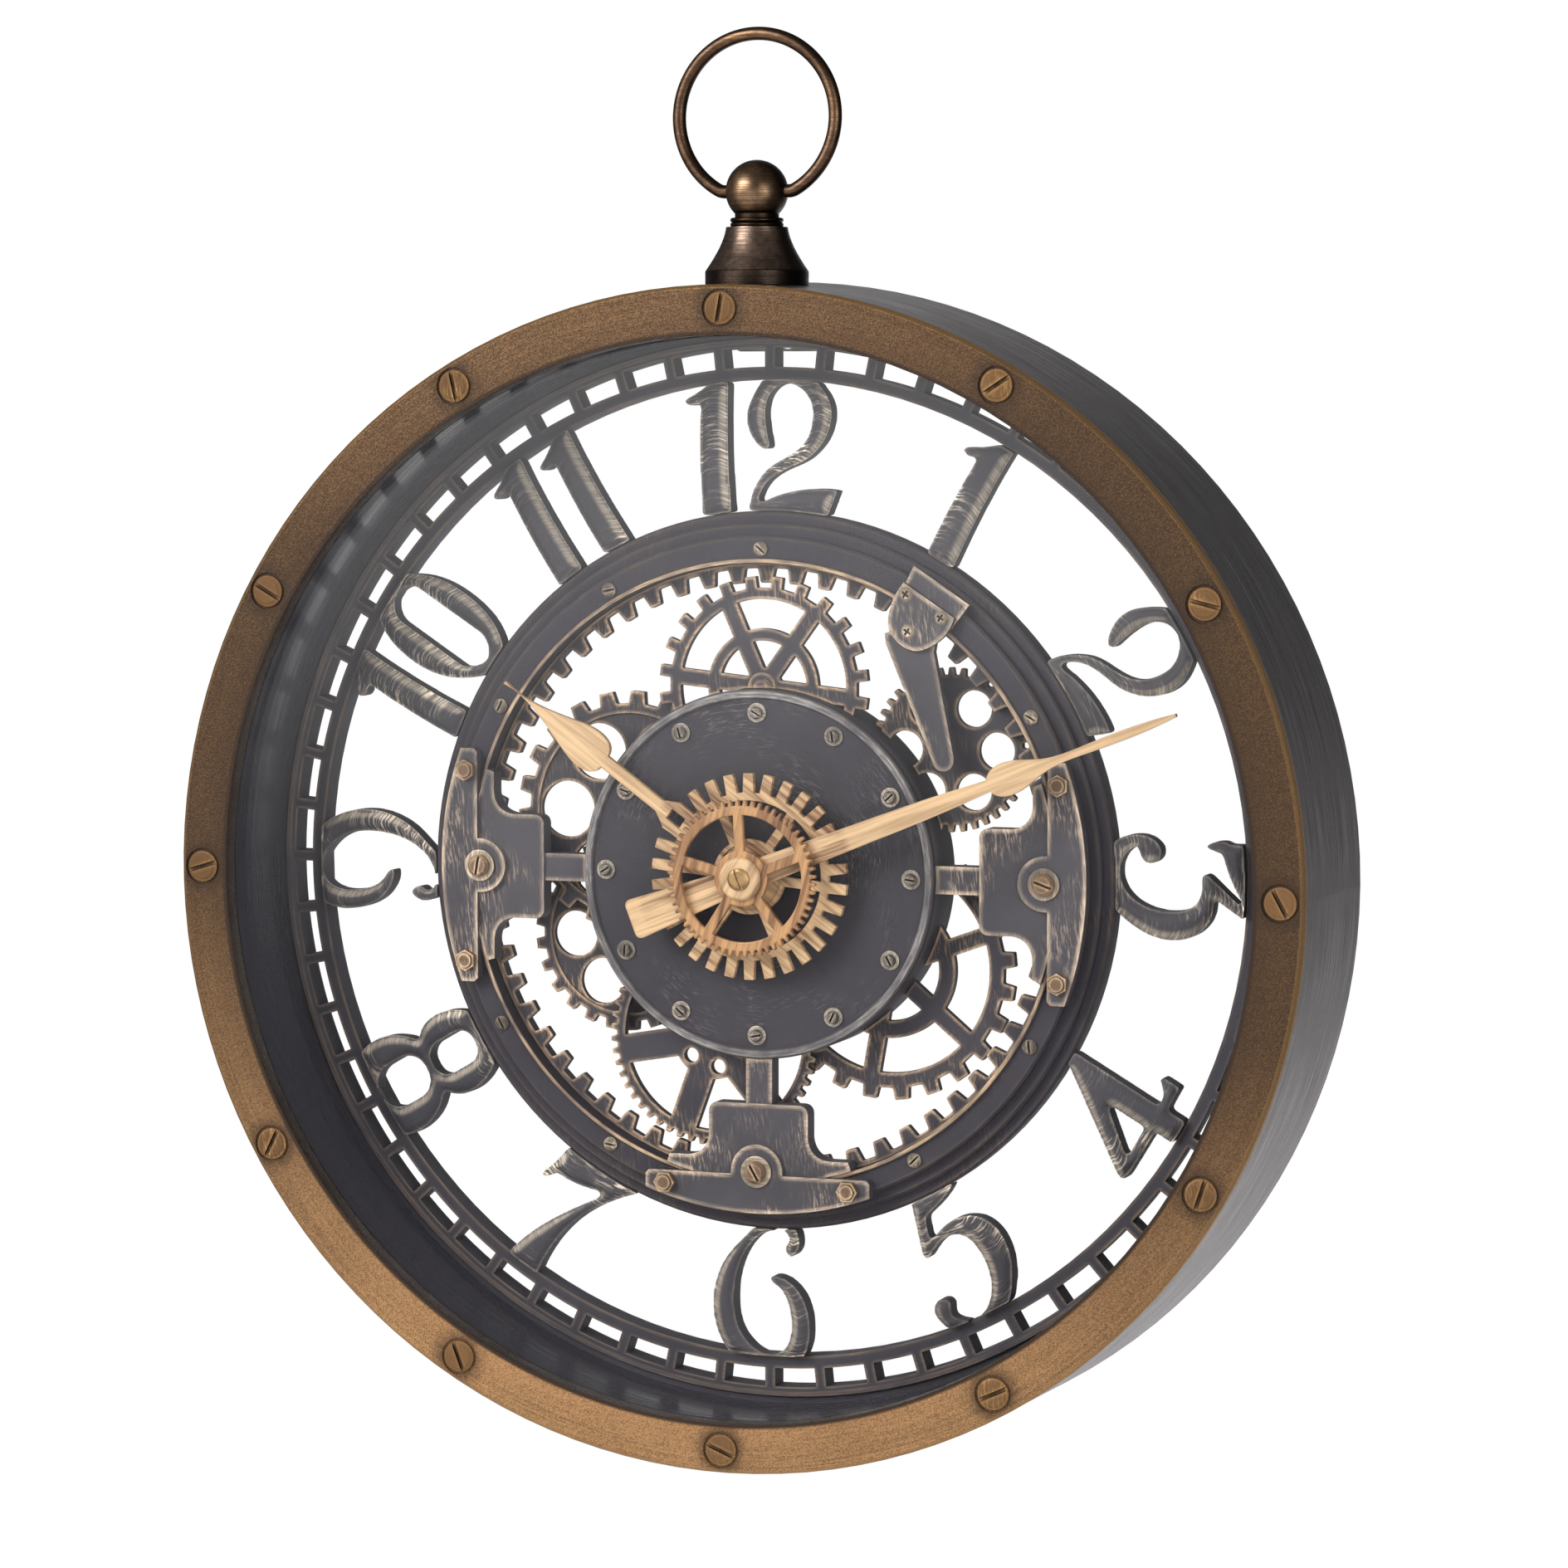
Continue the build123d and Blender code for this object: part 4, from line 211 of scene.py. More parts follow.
def fill_streaks(graph: Graph, given: dict[str, Socket]) -> dict[str, Socket]:
    """Lines that run round the dial axis, with no seam."""
    x, y, z = graph.add("SeparateXYZ", {0: graph.place()}).outputs
    radius = graph.math("MAXIMUM", graph.length(x, z), AXIS_GUARD)
    turn_x = graph.math("MULTIPLY", graph.math("DIVIDE", x, radius), given["Along"])
    turn_z = graph.math("MULTIPLY", graph.math("DIVIDE", z, radius), given["Along"])
    across = graph.math("MULTIPLY", graph.math("ADD", radius, y), given["Across"])
    vector = graph.add("CombineXYZ", {0: turn_x, 1: turn_z, 2: across}).outputs[0]
    lines = graph.noise(vector, 1.0, 5.0, 0.65)
    return {"Mask": graph.step(lines, 0.36, 0.66), "Radius": radius}


def fill_rub(graph: Graph, given: dict[str, Socket]) -> dict[str, Socket]:
    """Where a dry brush leaves colour: on front edges, on sides that face clockwise, and in stray strokes."""
    x, _, z = graph.add("SeparateXYZ", {0: graph.place()}).outputs
    nx, ny, nz = graph.add("SeparateXYZ", {0: graph.facing()}).outputs
    radius = graph.math("MAXIMUM", graph.length(x, z), AXIS_GUARD)
    turn = graph.math("SUBTRACT", graph.math("MULTIPLY", z, nx), graph.math("MULTIPLY", x, nz))
    turn = graph.math("DIVIDE", turn, radius)
    front = graph.math("MULTIPLY", ny, -1.0)
    side = graph.math("MULTIPLY", graph.step(turn, 0.08, 0.5), graph.step(front, 0.05, 0.35))
    streaks = graph.group(Effect.STREAKS.value, {"Along": given["Along"], "Across": given["Across"]})
    brush = streaks.outputs["Mask"]
    patch = graph.noise(graph.place(), 30.0, 3.0)
    edge = graph.math("MULTIPLY", given["Edge"], graph.step(front, 0.05, 0.4))
    edge = graph.math("MULTIPLY", edge, graph.step(patch, 0.3, 0.6, 0.25, 1.0))
    slope = graph.math("ADD", x, graph.math("MULTIPLY", z, 0.12))
    sweep = graph.add("CombineXYZ", {0: graph.math("MULTIPLY", slope, 1100.0),
                                     1: graph.math("MULTIPLY", z, 130.0)}).outputs[0]
    upright = graph.step(graph.noise(sweep, 1.0, 3.0, 0.7), 0.48, 0.66)
    thin = graph.step(brush, 0.55, 0.95)
    bent = graph.math("MULTIPLY", graph.math("SUBTRACT", thin, upright), given["Round"])
    stroke = graph.product(graph.step(patch, 0.44, 0.7), given["Stroke"], graph.math("ADD", upright, bent),
                           graph.step(front, 0.3, 0.8))
    total = graph.math("ADD", edge, graph.math("MULTIPLY", side, given["Side"]))
    broken = graph.math("MULTIPLY", total, graph.math("ADD", graph.math("MULTIPLY", brush, 0.6), 0.4))
    broken = graph.math("ADD", broken, stroke, True)
    return {"Mask": broken}


def fill_speckle(graph: Graph, given: dict[str, Socket]) -> dict[str, Socket]:
    """Fine dots and soft clouds of a sprayed or cast surface."""
    point = graph.place()
    fine = graph.add("TexNoise", {"Vector": point, "Scale": given["Scale"], "Detail": 2.0}).outputs["Fac"]
    cloud = graph.noise(point, 14.0, 5.0)
    return {"Dots": graph.step(fine, 0.4, 0.68), "Cloud": graph.step(cloud, 0.3, 0.7)}


def build_effects() -> None:
    """Build every shared effect once."""
    shared_effect(Effect.STREAKS, {"Along": 3.0, "Across": 900.0}, ["Mask", "Radius"], fill_streaks)
    rub = {"Edge": 0.0, "Side": 0.5, "Stroke": 0.0, "Round": 0.0, "Along": 12.0, "Across": 1500.0}
    shared_effect(Effect.RUB, rub, ["Mask"], fill_rub)
    shared_effect(Effect.SPECKLE, {"Scale": 1500.0}, ["Dots", "Cloud"], fill_speckle)


def begin(name: str) -> tuple[bpy.types.Material, Graph, bpy.types.Node]:
    """Start a material.

    Args:
        name: The finish's name.

    Returns:
        The material, its graph and its shader.
    """
    material = bpy.data.materials.new(name)
    material.use_nodes = True
    graph = Graph(material.node_tree)
    shader = graph.add("BsdfPrincipled")
    output = graph.add("OutputMaterial")
    graph.feed(output.inputs["Surface"], shader.outputs[0])
    return material, graph, shader


def bump(graph: Graph, shader: bpy.types.Node, height: Socket, depth: float) -> None:
    """Raise a shader's surface by a height, in metres at most."""
    node = graph.add("Bump", {"Height": height, "Distance": depth, "Strength": 1.0})
    graph.feed(shader.inputs["Normal"], node.outputs[0])


class Make(Enum):
    """How rough and how metallic a plain material is: roughness, then metal share."""

    MATT_PLASTIC = (0.62, 0.0)
    SATIN_PLASTIC = (0.42, 0.0)
    RUBBER = (0.8, 0.0)
    SATIN_METAL = (0.36, 1.0)
    BRIGHT_METAL = (0.24, 1.0)


@dataclass(frozen=True)
class Finish:
    """A finish, known by its name and its main colour."""

    name: str
    colour: tuple[int, int, int]

    def build(self) -> bpy.types.Material:
        """Make the material."""
        raise NotImplementedError


@dataclass(frozen=True)
class Plain(Finish):
    """A moulded, plated or drawn material with fine speckle and soft clouds."""

    second: tuple[int, int, int] = (20, 20, 20)
    make: Make = Make.MATT_PLASTIC
    grain: float = 1800.0

    def build(self) -> bpy.types.Material:
        """Make the material.

        Returns:
            The material.
        """
        material, graph, shader = begin(self.name)
        speckle = graph.group(Effect.SPECKLE.value, {"Scale": self.grain})
        share = graph.math("MULTIPLY", speckle.outputs["Cloud"], 0.5)
        colour = graph.mix(share, srgb(*self.colour), srgb(*self.second))
        dots = graph.math("MULTIPLY", speckle.outputs["Dots"], 0.25)
        graph.feed(shader.inputs["Base Color"], graph.mix(dots, colour, srgb(*self.second)))
        rough, metal = self.make.value
        cloud = speckle.outputs["Cloud"]
        graph.feed(shader.inputs["Roughness"], graph.step(cloud, 0.0, 1.0, rough - 0.06, rough + 0.06))
        shader.inputs["Metallic"].default_value = metal
        bump(graph, shader, speckle.outputs["Dots"], 0.00003)
        return material


@dataclass(frozen=True)
class Bronze(Finish):
    """Lathe-turned antique bronze lacquer with dark specks, stained round its screws, with painted shade on
    its top, right and flanks.
    """

    deep_and_shade: tuple[int, int, int] = (76, 53, 33)
    dark: tuple[int, int, int] = (58, 42, 30)
    worn: tuple[int, int, int] = (206, 160, 102)
    bright: tuple[int, int, int] = (232, 182, 116)
    flank_shade_depth: float = 0.85
    rim_r: float = 0.2297
    bore_r: float = 0.2106
    screw_r: float = 0.2209
    screws: int = 12

    def stain(self, graph: Graph, radius: Socket) -> Socket:
        """How near a point is to the middle of a screw, from 0 to 1.

        Args:
            graph: The material's graph.
            radius: The distance from the dial axis.

        Returns:
            1 under a screw head, falling to 0 a little outside it.
        """
        x, _, z = graph.add("SeparateXYZ", {0: graph.place()}).outputs
        turns = graph.math("MULTIPLY", graph.math("ARCTAN2", x, z), self.screws / tau)
        away = graph.math("SUBTRACT", turns, graph.math("ROUND", turns))
        along = graph.math("MULTIPLY", away, tau / self.screws * self.screw_r)
        across = graph.math("SUBTRACT", radius, self.screw_r)
        rag = graph.math("MULTIPLY", graph.noise(graph.place(), 160.0, 3.0), 0.006)
        ragged = graph.math("ADD", graph.length(along, across), rag)
        return graph.step(ragged, 0.0165, 0.0085)

    def build(self) -> bpy.types.Material:
        """Make the material.

        Returns:
            The material.
        """
        material, graph, shader = begin(self.name)
        speckle = graph.group(Effect.SPECKLE.value, {"Scale": 1700.0})
        grit = graph.group(Effect.SPECKLE.value, {"Scale": 2100.0}).outputs["Dots"]
        turned = graph.group(Effect.STREAKS.value, {"Along": 4.0, "Across": 1100.0})
        radius = turned.outputs["Radius"]
        share = graph.math("MULTIPLY", speckle.outputs["Cloud"], 0.25)
        colour = graph.mix(share, srgb(*self.colour), srgb(*self.deep_and_shade))
        x, _, z = graph.add("SeparateXYZ", {0: graph.place()}).outputs
        # Painted shade: the bezel is darkened on its flanks, towards its top and towards its right, where
        # less light falls on it.
        flank_shade = graph.step(graph.math("ABSOLUTE", z), 0.2, 0.0, 0.0, self.flank_shade_depth)
        upper_shade = graph.step(z, -0.05, 0.15, 0.0, 0.78)
        painted_shade = graph.math("ADD", graph.math("ADD", flank_shade, upper_shade), graph.step(x, 0.0, 0.22, 0.0, 0.3), True)
        colour = graph.mix(painted_shade, colour, srgb(*self.deep_and_shade))
        grooved = graph.step(radius, self.bore_r, self.rim_r, 0.1, 0.45)
        lines = graph.math("MULTIPLY", turned.outputs["Mask"], grooved)
        colour = graph.mix(lines, colour, srgb(*self.dark))
        # The bright grit fades where the painted shade lies.
        lit = graph.math("MULTIPLY", grit, graph.step(painted_shade, 0.0, 1.0, 0.24, 0.1))
        colour = graph.mix(lit, colour, srgb(*self.bright))
        colour = graph.mix(graph.math("MULTIPLY", speckle.outputs["Dots"], 0.42), colour, srgb(*self.dark))
        # Painted shade also deepens down the slope to the bore, in step with the painted shade above.
        inward = graph.step(radius, self.bore_r + 0.012, self.bore_r + 0.002, 0.0, 0.35)
        colour = graph.mix(graph.math("MULTIPLY", inward, painted_shade), colour, srgb(*self.dark))
        colour = graph.mix(graph.math("MULTIPLY", self.stain(graph, radius), 0.75), colour, srgb(*self.dark))
        mouth = graph.step(radius, self.bore_r + 0.0022, self.bore_r + 0.0008)
        colour = graph.mix(mouth, colour, srgb(*self.dark))
        edge = graph.math("MULTIPLY", graph.step(radius, self.rim_r - 0.0016, self.rim_r - 0.0006), 0.3)
        colour = graph.mix(edge, colour, srgb(*self.worn))
        graph.feed(shader.inputs["Base Color"], colour)
        graph.feed(shader.inputs["Roughness"], graph.step(speckle.outputs["Dots"], 0.0, 1.0, 0.4, 0.6))
        shader.inputs["Metallic"].default_value = 0.55
        grooves = graph.math("MULTIPLY", turned.outputs["Mask"], 0.6)
        bump(graph, shader, graph.math("ADD", grooves, speckle.outputs["Dots"]), 0.00006)
        return material


@dataclass(frozen=True)
class Brushed(Finish):
    """Metal brushed round the dial axis, with paler lines where the brush bit."""

    pale: tuple[int, int, int] = (96, 91, 94)
    along: float = 5.0
    across: float = 1600.0
    metal: float = 0.8
    rough: float = 0.36
    gloss: float = 0.2
    relief: float = 0.00004

    def build(self) -> bpy.types.Material:
        """Make the material.

        Returns:
            The material.
        """
        material, graph, shader = begin(self.name)
        streaks = graph.group(Effect.STREAKS.value, {"Along": self.along, "Across": self.across})
        lines = streaks.outputs["Mask"]
        speckle = graph.group(Effect.SPECKLE.value, {"Scale": 900.0})
        share = graph.math("MULTIPLY", lines, graph.step(speckle.outputs["Cloud"], 0.0, 1.0, 0.3, 0.8))
        colour = graph.mix(share, srgb(*self.colour), srgb(*self.pale))
        graph.feed(shader.inputs["Base Color"], colour)
        rough = graph.step(lines, 0.0, 1.0, self.rough + 0.08, self.rough - 0.06)
        graph.feed(shader.inputs["Roughness"], rough)
        shader.inputs["Metallic"].default_value = self.metal
        shader.inputs["Specular IOR Level"].default_value = self.gloss
        bump(graph, shader, lines, self.relief)
        return material


@dataclass(frozen=True)
class Turned(Finish):
    """Dark bronze brushed round the upright axis, with copper wear streaks only on front-facing faces, partly
    a painted highlight, and painted shade below a set height.
    """

    copper: tuple[int, int, int] = (168, 116, 78)
    pit_and_shade: tuple[int, int, int] = (24, 18, 16)
    wear: float = 0.6
    shade_below: float = 0.0

    def build(self) -> bpy.types.Material:
        """Make the material.

        Returns:
            The material.
        """
        material, graph, shader = begin(self.name)
        stretched = graph.add("Mapping", {"Vector": graph.place(), "Scale": (16.0, 16.0, 1300.0)}).outputs[0]
        lines = graph.step(graph.noise(stretched, 1.0, 5.0, 0.65), 0.4, 0.66)
        speckle = graph.group(Effect.SPECKLE.value, {"Scale": 420.0})
        broad = graph.step(graph.noise(graph.place(), 40.0, 4.0), 0.42, 0.68)
        _, ny, _ = graph.add("SeparateXYZ", {0: graph.facing()}).outputs
        # Copper shows only where the surface faces the front. This is partly worn streaks and partly a
        # painted highlight, which leaves the flanks in painted shade.
        front = graph.step(ny, -0.3, -0.8, 0.0, self.wear)
        brushed = graph.step(lines, 0.0, 1.0, 0.55, 1.0)
        share = graph.product(brushed, graph.step(broad, 0.0, 1.0, 0.4, 1.0), front)
        colour = graph.mix(share, srgb(*self.colour), srgb(*self.copper))
        # Painted shade: below a given height, at the bell's foot and on the collar under the ball, the metal
        # is darkened towards the pit colour.
        if self.shade_below:
            _, _, z = graph.add("SeparateXYZ", {0: graph.place()}).outputs
            low = graph.step(z, self.shade_below + 0.0004, self.shade_below - 0.0004, 0.0, 0.85)
            colour = graph.mix(low, colour, srgb(*self.pit_and_shade))
        pits = graph.math("MULTIPLY", speckle.outputs["Dots"], 0.3)
        graph.feed(shader.inputs["Base Color"], graph.mix(pits, colour, srgb(*self.pit_and_shade)))
        graph.feed(shader.inputs["Roughness"], graph.step(lines, 0.0, 1.0, 0.38, 0.28))
        shader.inputs["Metallic"].default_value = 0.95
        bump(graph, shader, lines, 0.000015)
        return material


@dataclass(frozen=True)
class Charcoal(Finish):
    """Matt charcoal lacquer, dry-brushed with pale gold on its edges and on sides that face clockwise, with
    painted shade in its hollows.
    """

    gold: tuple[int, int, int] = (230, 196, 160)
    shade: tuple[int, int, int] = (50, 47, 52)
    edge: float = 1.0
    edge_width: float = 0.0016
    side: float = 0.5
    stroke: float = 0.0
    round_share: float = 0.0
    along: float = 12.0
    metal: float = 0.4
    recess_shade: float = 0.0
    lip_r: float = 0.0

    def build(self) -> bpy.types.Material:
        """Make the material.

        Returns:
            The material.
        """
        material, graph, shader = begin(self.name)
        speckle = graph.group(Effect.SPECKLE.value, {"Scale": 2400.0})
        near_edge = graph.step(graph.shelter(self.edge_width, True), 0.97, 0.68, 0.0, self.edge)
        if self.lip_r:
            x, _, z = graph.add("SeparateXYZ", {0: graph.place()}).outputs
            lip = graph.step(graph.length(x, z), self.lip_r, self.lip_r + 0.003, 1.0, 0.3)
            near_edge = graph.math("MULTIPLY", near_edge, lip)
        broad = graph.shelter(4 * self.edge_width, True)
        stroke = graph.step(broad, 0.98, 0.7, 0.3 * self.stroke, self.stroke)
        rub = graph.group(Effect.RUB.value, {"Edge": near_edge, "Side": self.side, "Stroke": stroke,
                                             "Round": self.round_share, "Along": self.along})
        share = graph.math("MULTIPLY", speckle.outputs["Cloud"], 0.5)
        colour = graph.mix(share, srgb(*self.colour), srgb(*self.shade))
        dots = graph.math("MULTIPLY", speckle.outputs["Dots"], 0.2)
        colour = graph.mix(dots, colour, srgb(*self.shade))
        gold = rub.outputs["Mask"]
        colour = graph.mix(gold, colour, srgb(*self.gold))
        # Painted shade: hollows such as screw slots are darkened by how closed in they are.
        if self.recess_shade:
            hollow_shade = graph.step(graph.shelter(0.003, False), 0.9, 0.5, 0.0, self.recess_shade)
            colour = graph.mix(hollow_shade, colour, RECESS_SHADE_COLOUR)
        graph.feed(shader.inputs["Base Color"], colour)
        graph.feed(shader.inputs["Roughness"], graph.step(gold, 0.0, 1.0, 0.62, 0.42))
        graph.feed(shader.inputs["Metallic"], graph.math("MULTIPLY", gold, self.metal))
        shader.inputs["Specular IOR Level"].default_value = 0.2
        bump(graph, shader, speckle.outputs["Dots"], 0.00002)
        return material


@dataclass(frozen=True)
class Grained(Finish):
    """Honey-coloured print with brown grain that runs at one clock angle."""

    brown: tuple[int, int, int] = (116, 74, 46)
    angle: float = 0.0
    across: float = 620.0
    depth: float = 0.5
    gear_depth: float = 1.0
    gear_r: float = 0.043
    burn: float = 0.45

    def build(self) -> bpy.types.Material:
        """Make the material.

        Returns:
            The material.
        """
        material, graph, shader = begin(self.name)
        turn = (0.0, -radians(self.angle), 0.0)
        turned = graph.add("Mapping", {"Vector": graph.place(), "Rotation": turn}).outputs[0]
        drawn = graph.add("Mapping", {"Vector": turned, "Scale": (self.across, 40.0, 26.0)}).outputs[0]
        fibre = graph.step(graph.noise(drawn, 1.0, 4.0, 0.65), 0.4, 0.62)
        wide = graph.add("Mapping", {"Vector": turned, "Scale": (self.across / 4, 20.0, 12.0)}).outputs[0]
        band = graph.step(graph.noise(wide, 1.0, 3.0, 0.55), 0.42, 0.62)
        x, _, z = graph.add("SeparateXYZ", {0: graph.place()}).outputs
        depth = graph.step(graph.length(x, z), self.gear_r, self.gear_r + 0.004, self.gear_depth, self.depth)
        fine, coarse = graph.math("MULTIPLY", fibre, 0.45), graph.math("MULTIPLY", band, 0.55)
        share = graph.math("MULTIPLY", graph.math("ADD", fine, coarse, True), depth)
        edge = graph.step(graph.shelter(0.0012, True), 0.95, 0.6, 0.0, self.burn)
        burnt = graph.math("MULTIPLY", edge, graph.step(fibre, 0.0, 1.0, 0.5, 1.0))
        share = graph.math("MAXIMUM", share, burnt)
        graph.feed(shader.inputs["Base Color"], graph.mix(share, srgb(*self.colour), srgb(*self.brown)))
        graph.feed(shader.inputs["Roughness"], graph.step(band, 0.0, 1.0, 0.42, 0.52))
        bump(graph, shader, fibre, 0.00003)
        return material


@dataclass(frozen=True)
class ClearGlass(Finish):
    """Clear flat glass with a milky bloom towards its top; light falls straight through it on the dial."""

    bloom_low: float = -0.06
    bloom_high: float = 0.24
    bloom: float = 1.0

    def build(self) -> bpy.types.Material:
        """Make the material.

        Returns:
            The material.
        """
        material, graph, shader = begin(self.name)
        path = graph.add("LightPath").outputs
        lighting = graph.math("MAXIMUM", path["Is Shadow Ray"], path["Is Diffuse Ray"])
        graph.feed(shader.inputs["Alpha"], graph.math("SUBTRACT", 1.0, lighting))
        x, _, z = graph.add("SeparateXYZ", {0: graph.place()}).outputs
        height = graph.math("ADD", z, graph.math("MULTIPLY", x, -0.15))
        bloom = graph.step(height, self.bloom_low, self.bloom_high, 0.0, self.bloom)
        cloud = graph.step(graph.noise(graph.place(), 9.0, 2.0), 0.2, 0.7, 0.85, 1.0)
        graph.feed(shader.inputs["Coat Weight"], graph.math("MULTIPLY", bloom, cloud))
        shader.inputs["Base Color"].default_value = srgb(*self.colour)
        shader.inputs["Roughness"].default_value = 0.0
        shader.inputs["Transmission Weight"].default_value = 1.0
        shader.inputs["IOR"].default_value = 1.05
        return material


class Rounding(Enum):
    """How a solid's sharp edges are rounded: as its faces are cut, or with whole faces first."""

    AS_CUT = 1
    WHOLE_FACES = 2


@dataclass
class SubAssembly:
    """Some of the clock's pieces, which are dressed together."""

    title: str = "pieces"
    fine_round: float = 0.0003

    def dress(self) -> None:
        """Give every piece its finish."""
        raise NotImplementedError

    def wear(self, finish: Finish, nodes: list[str], width: float = 0.0,
             rounding: Rounding = Rounding.WHOLE_FACES) -> None:
        """Dress solids in one finish.

        Args:
            finish: What they are made of.
            nodes: The solids' names.
            width: Width of the rounding on their sharp edges, in metres, or 0 for none.
            rounding: How the edges are rounded.
        """
        material = finish.build()
        for node in nodes:
            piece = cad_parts[node]
            piece.data.materials.clear()
            piece.data.materials.append(material)
            if width:
                self.soften(piece, width, rounding)
            log.info("%s: %s in %s", self.title, node, finish.name)

    @staticmethod
    def soften(piece: bpy.types.Object, width: float, rounding: Rounding) -> None:
        """Round the sharp edges of a solid without touching its mesh.

        Args:
            piece: The solid's object.
            width: Width of the rounding in metres.
            rounding: How the edges are rounded.
        """
        weld = piece.modifiers.new("Joined faces", "WELD")
        weld.merge_threshold = WELD_GAP
        if rounding is Rounding.WHOLE_FACES:
            flat = piece.modifiers.new("Whole faces", "DECIMATE")
            flat.decimate_type = "DISSOLVE"
            flat.angle_limit = radians(0.6)
        bevel = piece.modifiers.new("Rounded edges", "BEVEL")
        bevel.width = width
        bevel.segments = 2
        bevel.profile = 0.5
        bevel.limit_method = "ANGLE"
        bevel.angle_limit = radians(28.0)
        bevel.use_clamp_overlap = True


@dataclass
class CaseWork(SubAssembly):
    """The case: bezel and its screws, drum, glass, gasket and the wall between glass and dial."""

    title: str = "case"
    bezel_round: float = 0.0006
    head_round: float = 0.0005

    def dress(self) -> None:
        """Give the case its finishes."""
        self.wear(Bronze("antique_bronze", (192, 144, 98)), ["bezel"], self.bezel_round)
        self.wear(Charcoal("bezel_screw_bronze", (134, 98, 62), (196, 152, 98), (70, 50, 34), edge=0.5,
                           edge_width=0.0014, side=0.0, stroke=0.6, recess_shade=0.95),
                  ["bezel_screws"], self.head_round)
        self.wear(Brushed("gunmetal", (112, 105, 107), (152, 144, 147), metal=1.0, rough=0.34, gloss=0.5),
                  ["case_drum"])
        self.wear(Brushed("shroud_black", (73, 72, 78), (78, 76, 83), 3.0, 260.0, 0.0, 0.2,
                          relief=0.000008), ["shroud_ring"])
        self.wear(ClearGlass("front_glass_clear", (255, 255, 255)), ["front_glass"])
        self.wear(Plain("gasket_rubber", (34, 33, 33), (20, 20, 20), Make.RUBBER), ["glass_gasket"])
        self.wear(Plain("hanger_steel", (176, 176, 172), (120, 118, 112), Make.SATIN_METAL),
                  ["keyhole_hanger", "hanger_screws", "dial_screws"])


@dataclass
class Pendant(SubAssembly):
    """The bell, ball and bow on top of the case."""

    title: str = "pendant"
    # Heights below which the ball's collar and the bell's foot get painted shade.
    collar_top: float = 0.2592
    foot_top: float = 0.2362

    def dress(self) -> None:
        """Give the pendant its finishes."""
        self.wear(Turned("bow_bronze", (62, 49, 41), (182, 140, 106), wear=0.62), ["bow_ring"])
        self.wear(Turned("ball_bronze", (62, 47, 38), (255, 206, 160), wear=0.8,
                         shade_below=self.collar_top),
                  ["pendant_ball"])
        self.wear(Turned("bell_bronze", (64, 53, 47), (236, 200, 174), wear=0.72,
                         shade_below=self.foot_top),
                  ["pendant_bell"])
        self.wear(Plain("pendant_steel", (150, 148, 142), (98, 96, 92), Make.SATIN_METAL),
                  ["pendant_nut", "pendant_washer"])


@dataclass
class Numerals(SubAssembly):
    """The twelve numerals, whose fronts swell gently between their edges."""

    title: str = "numerals"
    skin: float = 0.0009
    swell_width: float = 0.0042
    swell: float = 0.0022
    ease: int = 3
    steep: float = 0.6

    def skinned(self) -> bpy.types.Object:
        """Copy the solid figures under one even skin.

        Returns:
            The new piece, with no modifier left on it.
        """
        shape = bmesh.new()
        shape.from_mesh(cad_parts["numerals"].data)
        bmesh.ops.remove_doubles(shape, verts=shape.verts, dist=WELD_GAP)
        mesh = bpy.data.meshes.new("numeral_figures")
        shape.to_mesh(mesh)
        shape.free()
        piece = bpy.data.objects.new("numeral_figures", mesh)
        bpy.context.scene.collection.objects.link(piece)
        skin = piece.modifiers.new("Even skin", "REMESH")
        skin.mode = "VOXEL"
        skin.voxel_size = self.skin
        skin.use_smooth_shade = True
        bpy.context.view_layer.update()
        whole = piece.evaluated_get(bpy.context.evaluated_depsgraph_get())
        fresh = bpy.data.meshes.new_from_object(whole)
        piece.modifiers.clear()
        piece.data = fresh
        return piece

    def swelled(self, piece: bpy.types.Object) -> None:
        """Lower the fronts towards their edges, so that they swell in the middle.

        Args:
            piece: The skinned figures.
        """
        shape = bmesh.new()
        shape.from_mesh(piece.data)
        sides = [vert for vert in shape.verts if abs(vert.normal.y) < self.steep]
        tree = KDTree(len(sides))
        for number, vert in enumerate(sides):
            tree.insert((vert.co.x, 0.0, vert.co.z), number)
        tree.balance()
        fronts = [vert for vert in shape.verts if vert.normal.y < -self.steep]
        for vert in fronts:
            inward = min(tree.find((vert.co.x, 0.0, vert.co.z))[2] / self.swell_width, 1.0)
            vert.co.y += self.swell * (1.0 - inward) ** 2
        for _ in range(self.ease):
            bmesh.ops.smooth_vert(shape, verts=shape.verts, factor=0.5, use_axis_x=True, use_axis_y=True,
                                  use_axis_z=True)
        shape.to_mesh(piece.data)
        shape.free()

    def dress(self) -> None:
        """Build the figures and give them their finish."""
        piece = self.skinned()
        self.swelled(piece)
        finish = Charcoal("numeral_charcoal", (86, 84, 89), (236, 220, 198), edge=0.35, side=0.6, stroke=1.0,
                          round_share=1.0, along=18.0)
        piece.data.materials.clear()
        piece.data.materials.append(finish.build())
        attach(piece, "case")
        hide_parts("numerals")
        log.info("%s: %s in %s", self.title, piece.name, finish.name)


